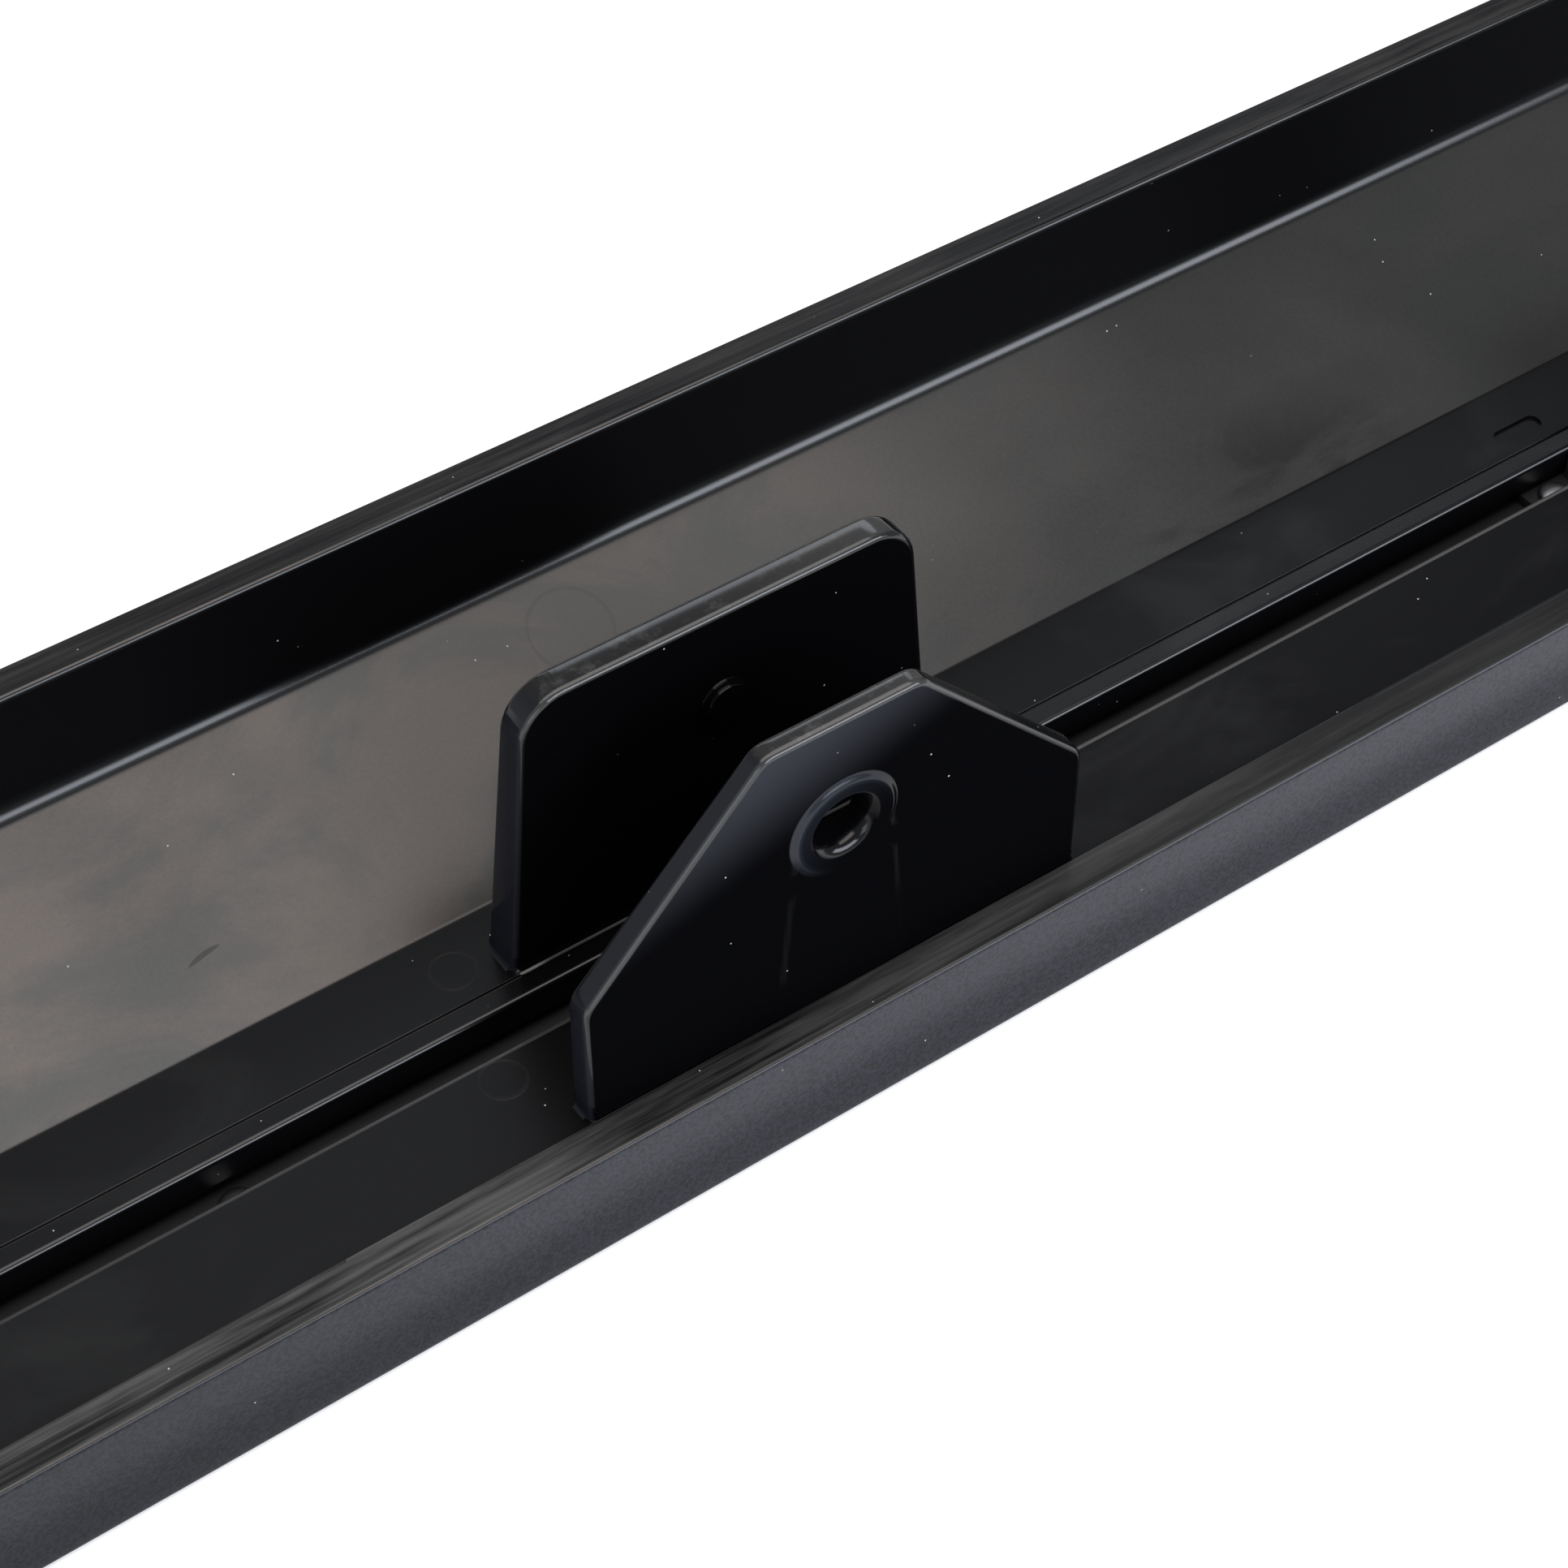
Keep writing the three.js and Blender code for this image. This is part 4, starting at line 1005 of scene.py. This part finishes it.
def ear_sheets(shape, x, z, front_relief, hole=None, pip=None):
    """Front and back faces of an ear, the rim between them, and a hole or pip in the middle."""
    rows, columns = x.shape
    quads = grid_faces(rows, columns)
    sheets = []
    keep = np.ones((rows - 1, columns - 1), bool)
    feature = hole or pip
    if feature:
        rings_x, rings_z, missing = punched(x, z, *feature["place"], feature["radii"])
        keep = ~missing
        around = grid_faces(*rings_x.shape, close_columns=True)
        ring_front = shape.front(rings_x, rings_z, front_relief(rings_x, rings_z))
        if hole:
            ring_front[0] += hole["bevel"]
            ring_back = shape.back(rings_x, rings_z)
            sheets.append((stacked(rings_x, ring_back, rings_z), around))
            bore = np.stack([stacked(rings_x[0], ring_front[0], rings_z[0]),
                             stacked(rings_x[0], ring_back[0], rings_z[0])])
            sheets.append((bore, grid_faces(2, rings_x.shape[1], close_columns=True)))
        sheets.append((stacked(rings_x, ring_front, rings_z), around))
        if pip:
            sheets.append((stacked(rings_x[0], ring_front[0], rings_z[0]), None))
    front = stacked(x, shape.front(x, z, front_relief(x, z)), z)
    back = stacked(x, shape.back(x, z), z)
    sheets.append((front, quads[keep]))
    sheets.append((back, quads[keep] if hole else quads))
    for border in (np.s_[:, 0], np.s_[:, -1], np.s_[0, :], np.s_[-1, :]):
        strip = np.stack([front[border], back[border]])
        sheets.append((strip, grid_faces(2, strip.shape[1])))
    return sheets


class SLIDE_OT_front_ear(Operator):
    """Builds the five-sided front ear with its bored boss"""
    bl_idname = "slide.front_ear"
    bl_label = "Front ear"

    def execute(self, context):
        channel, ears, _ = settings()
        floor = channel.floor
        bottom = floor - ears.sunk
        half, top_half = ears.front_half, ears.front_top_half
        shoulder, top = floor + ears.front_shoulder, floor + ears.front_height
        corners = [(-half, bottom, 0), (half, bottom, 0), (half, shoulder, 3.2),
                   (top_half, top, 3.0), (-top_half, top, 3.0), (-half, shoulder, 3.2)]
        shape = EarShape(ears, floor, corners, -ears.front_face, ears.front_base, ears.front_tip,
                         ears.front_height)
        axis = floor + ears.axis
        columns = ear_columns(36)
        rows = spaced(bottom, 3, floor, 8, floor + ears.fillet, 24, axis - 8, 32, axis + 8, 8,
                      top - 2.5, 8, top - ears.edge, 8, top)
        x, z = ear_grid(shape, columns, rows)
        boss = ears.boss / 2

        def relief(x, z):
            """The ring is a step at the boss's radius with a shallower dip inside it; the rib is
            a step whose half width grows with the distance below the axis."""
            crown, widening = 0.25, 0.09
            out = np.hypot(x, z - axis)
            ring = step_up(boss - out, 0.5) - crown * step_up(boss - 0.8 - out, 0.8)
            below = np.clip(axis - z, 0, None)
            rib = step_up(boss - 0.4 + widening * below - np.abs(x), 0.45) * (z < axis)
            return np.maximum(ears.boss_rise * ring, ears.rib_rise * rib)

        bore, rim = ears.hole / 2, ears.hole_rim / 2
        from_boss = np.array([-1.6, -1.3, -1.0, -0.75, -0.5, -0.3, -0.15, 0.0, 0.15, 0.3, 0.5, 0.8])
        hole = {"radii": [bore, rim, rim + 0.12, *(boss + from_boss)], "bevel": rim - bore,
                "place": (block_around(rows, columns, axis, 7.2, 0.4), (0.0, axis))}
        fitted("channel_housing", "front_ear", ear_sheets(shape, x, z, relief, hole=hole),
               "ear", "frame", sharp=50)
        return {"FINISHED"}


def block_around(rows, columns, axis, reach, spread):
    """Rows and columns of the block of cells round the clevis axis."""
    inner_rows = np.flatnonzero(np.abs(rows - axis) <= reach)
    inner_columns = np.flatnonzero(np.abs(columns) <= spread + 1e-9)
    return inner_rows[0], inner_rows[-1], inner_columns[0], inner_columns[-1]


class SLIDE_OT_rear_ear(Operator):
    """Builds the rear ear with its pip"""
    bl_idname = "slide.rear_ear"
    bl_label = "Rear ear"

    def execute(self, context):
        channel, ears, _ = settings()
        floor = channel.floor
        bottom, top = floor - ears.sunk, floor + ears.rear_height
        half, top_half, round_off = ears.rear_half, ears.rear_top_half, ears.rear_corner
        corners = [(-half, bottom, 0), (half, bottom, 0),
                   (top_half, top, round_off), (-top_half, top, round_off)]
        shape = EarShape(ears, floor, corners, ears.rear_face, ears.rear_base, ears.rear_tip,
                         ears.rear_height)
        axis = floor + ears.axis
        columns = ear_columns(30)
        rows = spaced(bottom, 3, floor, 8, floor + ears.fillet, 16, axis - 8, 30, top - 4.5, 18,
                      top - ears.edge, 10, top)
        x, z = ear_grid(shape, columns, rows)
        radius = ears.pip / 2

        def relief(x, z):
            """The pip is a step at its own radius round the axis."""
            return ears.pip_rise * step_up(radius - np.hypot(x, z - axis), 0.16)

        from_edge = np.array([-0.35, -0.16, -0.08, 0.0, 0.08, 0.16, 0.35, 0.9])
        pip = {"radii": [0.6, 1.4, 2.1, *(radius + from_edge)],
               "place": (block_around(rows, columns, axis, 4.8, 0.3), (0.0, axis))}
        fitted("channel_housing", "rear_ear", ear_sheets(shape, x, z, relief, pip=pip),
               "ear", "frame", sharp=50)
        return {"FINISHED"}


# ------------------------------------------------------------------ steel slide and fittings
def softened(node, name, material, body, width):
    """A copy of a CAD node with its doubles merged, flat faces joined and edges bevelled."""
    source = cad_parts[node]
    piece = bpy.data.objects.new(name, source.data.copy())
    skin = bmesh.new()
    skin.from_mesh(piece.data)
    bmesh.ops.remove_doubles(skin, verts=skin.verts, dist=1e-6)
    bmesh.ops.dissolve_limit(skin, angle_limit=math.radians(1), verts=skin.verts, edges=skin.edges)
    skin.to_mesh(piece.data)
    skin.free()
    finish_piece(piece, material, body, 40)
    bevel = piece.modifiers.new("soft_edges", "BEVEL")
    bevel.width = width * MM
    bevel.segments = 2
    bevel.limit_method = "ANGLE"
    bevel.angle_limit = math.radians(40)
    bevel.harden_normals = True
    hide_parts(node)
    return piece


def sheet_section(path, thickness):
    """The closed section of a bent sheet.  The path (Y, Z) is its middle line; the two sides are
    the path moved half a thickness each way, and each bend is round about one centre."""
    path = np.array(path, float)
    heading = np.diff(path, axis=0)
    heading /= np.linalg.norm(heading, axis=1, keepdims=True)
    before = np.concatenate([heading[:1], heading])
    after = np.concatenate([heading, heading[-1:]])
    left_before = np.stack([-before[:, 1], before[:, 0]], 1)
    left_after = np.stack([-after[:, 1], after[:, 0]], 1)
    mitre = (left_before + left_after) / (1 + (left_before * left_after).sum(1, keepdims=True))
    turn = before[:, 0] * after[:, 1] - before[:, 1] * after[:, 0]
    sides = []
    for way in (1, -1):
        radius = np.where(turn * way > 1e-6, thickness / 2, thickness * 1.5)
        radius[[0, -1]] = thickness * 0.2
        sides.append(np.column_stack([path + mitre * thickness / 2 * way, radius]))
    return rounded(np.concatenate([sides[0], sides[1][::-1]]), 6, 0.02)


class SLIDE_OT_members(Operator):
    """Builds the three bent steel members"""
    bl_idname = "slide.members"
    bl_label = "Members"

    def execute(self, context):
        steel = settings()[2]
        half = steel.sheet / 2
        for node, name, finish, body, slot in (
                ("cabinet_member", "cabinet_rail", "zinc", "frame", "zinc_steel"),
                ("middle_member", "middle_rail", "zinc", "middle", "zinc_steel"),
                ("drawer_member", "drawer_rail", "coat", "drawer", "black_steel")):
            low, high = node_box(node)
            wall, web, rim = high[1] - half, low[2] + half, high[2]
            path = [(wall, rim), (wall, web), (-wall, web), (-wall, rim)]
            if node == "cabinet_member":
                top, lip = high[2] - half, high[1] - steel.lip
                path = [(lip, top), (wall, top), (wall, web), (-wall, web), (-wall, top), (-lip, top)]
            elif node == "drawer_member":
                web, rim = high[2] - half, low[2]
                path = [(wall, rim), (wall, web), (-wall, web), (-wall, rim)]
            sheets = swept(sheet_section(path, steel.sheet), spaced(low[0], 60, high[0]))
            fitted(node, name, sheets, finish, body)
        return {"FINISHED"}


class SLIDE_OT_balls(Operator):
    """Builds the bearing balls of both cages"""
    bl_idname = "slide.balls"
    bl_label = "Balls"

    def execute(self, context):
        turn = np.linspace(0, np.pi, settings()[2].ball_rows + 1)
        for cage in ("outer", "inner"):
            for number in range(1, 9):
                node = f"{cage}_ball_{number}"
                low, high = node_box(node)
                radius = (high[2] - low[2]) / 2
                profile = np.stack([np.sin(turn), -np.cos(turn)], 1) * radius
                profile[[0, -1], 0] = 0
                sheets = turned(profile, (low + high) / 2, (0, 0, 1), 32)
                fitted(node, f"{cage}_bearing_{number}", sheets, "ball", f"{cage}_cage")
        return {"FINISHED"}


class SLIDE_OT_rivets(Operator):
    """Builds the rivets: a flat head below, a shank, and a domed head on top"""
    bl_idname = "slide.rivets"
    bl_label = "Rivets"

    def execute(self, context):
        steel = settings()[2]
        arc = np.linspace(0, np.pi / 2, 9)
        head, flat, shank = steel.rivet_head, steel.rivet_flat, steel.rivet_shank / 2
        edge = 0.08
        for node in ("tongue_rivet_1", "tongue_rivet_2", "bracket_rivet_1", "bracket_rivet_2",
                     "lever_rivet"):
            low, high = node_box(node)
            radius, length = (high[0] - low[0]) / 2, high[2] - low[2]
            rise = length - head + edge + np.sin(arc) * (head - edge)
            dome = np.stack([np.cos(arc) * radius, rise], 1)
            dome[-1, 0] = 0
            foot = [(0, 0), (radius * 0.75, 0), (radius * 0.9, edge), (radius, flat - 0.1),
                    (radius - 0.1, flat), (shank, flat)]
            neck = [(shank, length - head), (radius - 0.06, length - head)]
            centre = ((low[0] + high[0]) / 2, (low[1] + high[1]) / 2, low[2])
            sheets = turned(np.concatenate([foot, neck, dome]), centre, (0, 0, 1), 36)
            fitted(node, f"{node}_turned", sheets, "zinc", "drawer")
        return {"FINISHED"}


class SLIDE_OT_bumper(Operator):
    """Builds the rubber bumper: a round pad on a stem with a barb"""
    bl_idname = "slide.bumper"
    bl_label = "Bumper"

    def execute(self, context):
        low, high = node_box("rear_bumper")
        radius, length = (high[1] - low[1]) / 2, high[0] - low[0]
        stem, pad, barb = radius * 0.38, length * 0.385, length - 1.2
        corner = 0.8
        arc = np.linspace(0, np.pi / 2, 7)
        nose = np.stack([radius - corner + np.sin(arc) * corner, corner - np.cos(arc) * corner], 1)
        shaft = [(radius, pad - 0.3), (radius - 0.3, pad), (stem, pad), (stem, barb),
                 (stem + 0.9, barb + 0.05), (stem + 0.8, barb + 0.5),
                 (stem + 0.2, length - 0.15), (stem - 0.1, length), (0, length)]
        centre = (low[0], (low[1] + high[1]) / 2, (low[2] + high[2]) / 2)
        sheets = turned(np.concatenate([[(0, 0)], nose, shaft]), centre, (1, 0, 0), 48)
        fitted("rear_bumper", "bumper", sheets, "rubber", "frame")
        return {"FINISHED"}


class SLIDE_OT_fittings(Operator):
    """Rounds the edges of the caps, cages, screws, tongue, bracket and lever"""
    bl_idname = "slide.fittings"
    bl_label = "Fittings"

    def execute(self, context):
        edge = settings()[2].soft_edge
        kinds = [
            ("front_end_cap", "channel", "frame", "black_plastic", edge * 2),
            ("rear_end_cap", "channel", "frame", "black_plastic", edge * 2),
            ("outer_ball_cage", "zinc", "outer_cage", "zinc_steel", edge / 2),
            ("inner_ball_cage", "zinc", "inner_cage", "zinc_steel", edge / 2),
            ("drive_tongue", "coat", "drawer", "black_steel", edge * 1.4),
            ("front_bracket", "coat", "drawer", "black_steel", edge * 1.2),
            ("release_lever", "nylon", "lever", "grey_nylon", edge),
        ]
        for kind in ("end_cap_screw", "side_screw"):
            kinds += [(f"{kind}_{n}", "zinc", "frame", "zinc_steel", edge / 2) for n in range(1, 5)]
        for node, finish, body, slot, width in kinds:
            softened(node, f"{node}_finished", finish_for(finish), body, width)
        return {"FINISHED"}


# ------------------------------------------------------------------ studio
# Lamps: name, place, target and sides in metres, the setting that holds its power, and its tone.
LAMPS = (
    ("top_softbox", (0.0, -0.05, 0.62), (0.0, -0.05, 0.0), (0.66, 0.42), "top_light", (1.0, 0.955, 0.93)),
    ("rear_softbox", (0.50, 0.95, 0.74), (0.0, 0.0, 0.03), (0.9, 0.24), "rear_light", (0.86, 0.92, 1.0)),
    ("front_softbox", (0.30, -0.75, 0.42), (0.0, 0.0, 0.03), (0.9, 0.34), "front_light", (0.86, 0.91, 1.0)),
    ("left_softbox", (-0.55, -0.75, 0.24), (0.0, 0.0, 0.03), (0.5, 0.34), "left_light", (0.85, 0.92, 1.0)),
)


def area_light(name, place, target, sides, watts, tone):
    """A soft rectangular lamp, in metres, facing its target."""
    lamp = bpy.data.lights.new(name, "AREA")
    lamp.shape = "RECTANGLE"
    lamp.size, lamp.size_y = sides
    lamp.energy = watts
    lamp.color = tone
    holder = bpy.data.objects.new(name, lamp)
    aim(holder, np.array(place), np.array(target))
    bpy.context.scene.collection.objects.link(holder)


def aim(holder, place, target):
    """Puts a lamp or camera at place, looking at target, upright."""
    holder.location = place
    holder.rotation_euler = Vector(target - place).to_track_quat("-Z", "Y").to_euler()


class SLIDE_OT_stage(Operator):
    """Sets the pale floor, the soft light and the camera"""
    bl_idname = "slide.stage"
    bl_label = "Stage"

    def execute(self, context):
        studio = context.scene.slide_studio
        reach, gap = 3000.0, 0.05
        edge = np.linspace(-reach, reach, 9)
        x, y = np.meshgrid(edge, edge, indexing="ij")
        make_floor(stacked(x, y, np.full_like(x, -gap)))
        world = bpy.data.worlds.new("studio")
        world.use_nodes = True
        shade = world.node_tree.nodes["Background"]
        shade.inputs["Color"].default_value = (0.93, 0.96, 1.0, 1.0)
        shade.inputs["Strength"].default_value = studio.sky
        context.scene.world = world
        for name, place, aimed_at, sides, setting, tone in LAMPS:
            area_light(name, place, aimed_at, sides, getattr(studio, setting), tone)
        direction = np.array([
            math.sin(studio.azimuth) * math.cos(studio.elevation),
            -math.cos(studio.azimuth) * math.cos(studio.elevation),
            math.sin(studio.elevation)])
        target = np.array(studio.target) * MM
        camera = bpy.data.cameras.new("camera")
        camera.lens = studio.lens
        camera.sensor_width = 36.0
        camera.clip_start = 0.01
        holder = bpy.data.objects.new("camera", camera)
        aim(holder, target + direction * studio.distance * MM, target)
        context.scene.collection.objects.link(holder)
        context.scene.camera = holder
        context.scene.view_settings.view_transform = "Standard"
        return {"FINISHED"}


def make_floor(points):
    """The studio's pale floor, a flat grid that glows a little so that it renders white."""
    mesh = bpy.data.meshes.new("floor")
    quads = grid_faces(*points.shape[:2]).reshape(-1, 4)
    mesh.from_pydata((points.reshape(-1, 3) * MM).tolist(), [], quads.tolist())
    finish = Finish("pale_floor")
    cloud = finish.noise(3.0, 3, 0.5)
    finish.link("Base Color", finish.mix(cloud * 0.2, (0.93, 0.93, 0.93), (0.89, 0.89, 0.89)))
    finish.fix(Roughness=0.8, Emission_Color=(1, 1, 1, 1), Emission_Strength=0.40)
    mesh.materials.append(finish.material)
    floor = bpy.data.objects.new("floor", mesh)
    bpy.context.scene.collection.objects.link(floor)
    return floor


class SLIDE_PT_panel(Panel):
    """The steps that build the slide"""
    bl_idname = "SLIDE_PT_panel"
    bl_label = "Drawer Slide"
    bl_space_type = "VIEW_3D"
    bl_region_type = "UI"
    bl_category = "Drawer Slide"

    def draw(self, context):
        scene = context.scene
        for group in (scene.slide_channel, scene.slide_ears, scene.slide_steel,
                      scene.slide_colours, scene.slide_studio):
            box = self.layout.box()
            for name in group.bl_rna.properties.keys():
                if name not in ("rna_type", "name"):
                    box.prop(group, name)
        for step in STEPS:
            self.layout.operator(step.bl_idname)


GROUPS = {"slide_channel": ChannelSizes, "slide_ears": EarSizes, "slide_steel": SteelSizes,
          "slide_colours": FinishColours, "slide_studio": StudioSettings}
STEPS = (SLIDE_OT_stage, SLIDE_OT_channel, SLIDE_OT_ribs, SLIDE_OT_front_ear, SLIDE_OT_rear_ear,
         SLIDE_OT_members, SLIDE_OT_balls, SLIDE_OT_rivets, SLIDE_OT_bumper, SLIDE_OT_fittings)
CLASSES = (*GROUPS.values(), *STEPS, SLIDE_PT_panel)


def register():
    """Registers the settings, steps and panel, and hangs the settings on the scene."""
    for item in CLASSES:
        bpy.utils.register_class(item)
    for name, group in GROUPS.items():
        setattr(bpy.types.Scene, name, PointerProperty(type=group))


def unregister():
    """Takes back what register did."""
    for name in GROUPS:
        delattr(bpy.types.Scene, name)
    for item in reversed(CLASSES):
        bpy.utils.unregister_class(item)


def main():
    """Runs every step in order."""
    register()
    for step in STEPS:
        family, name = step.bl_idname.split(".")
        getattr(getattr(bpy.ops, family), name)()


if __name__ == "__main__":
    main()
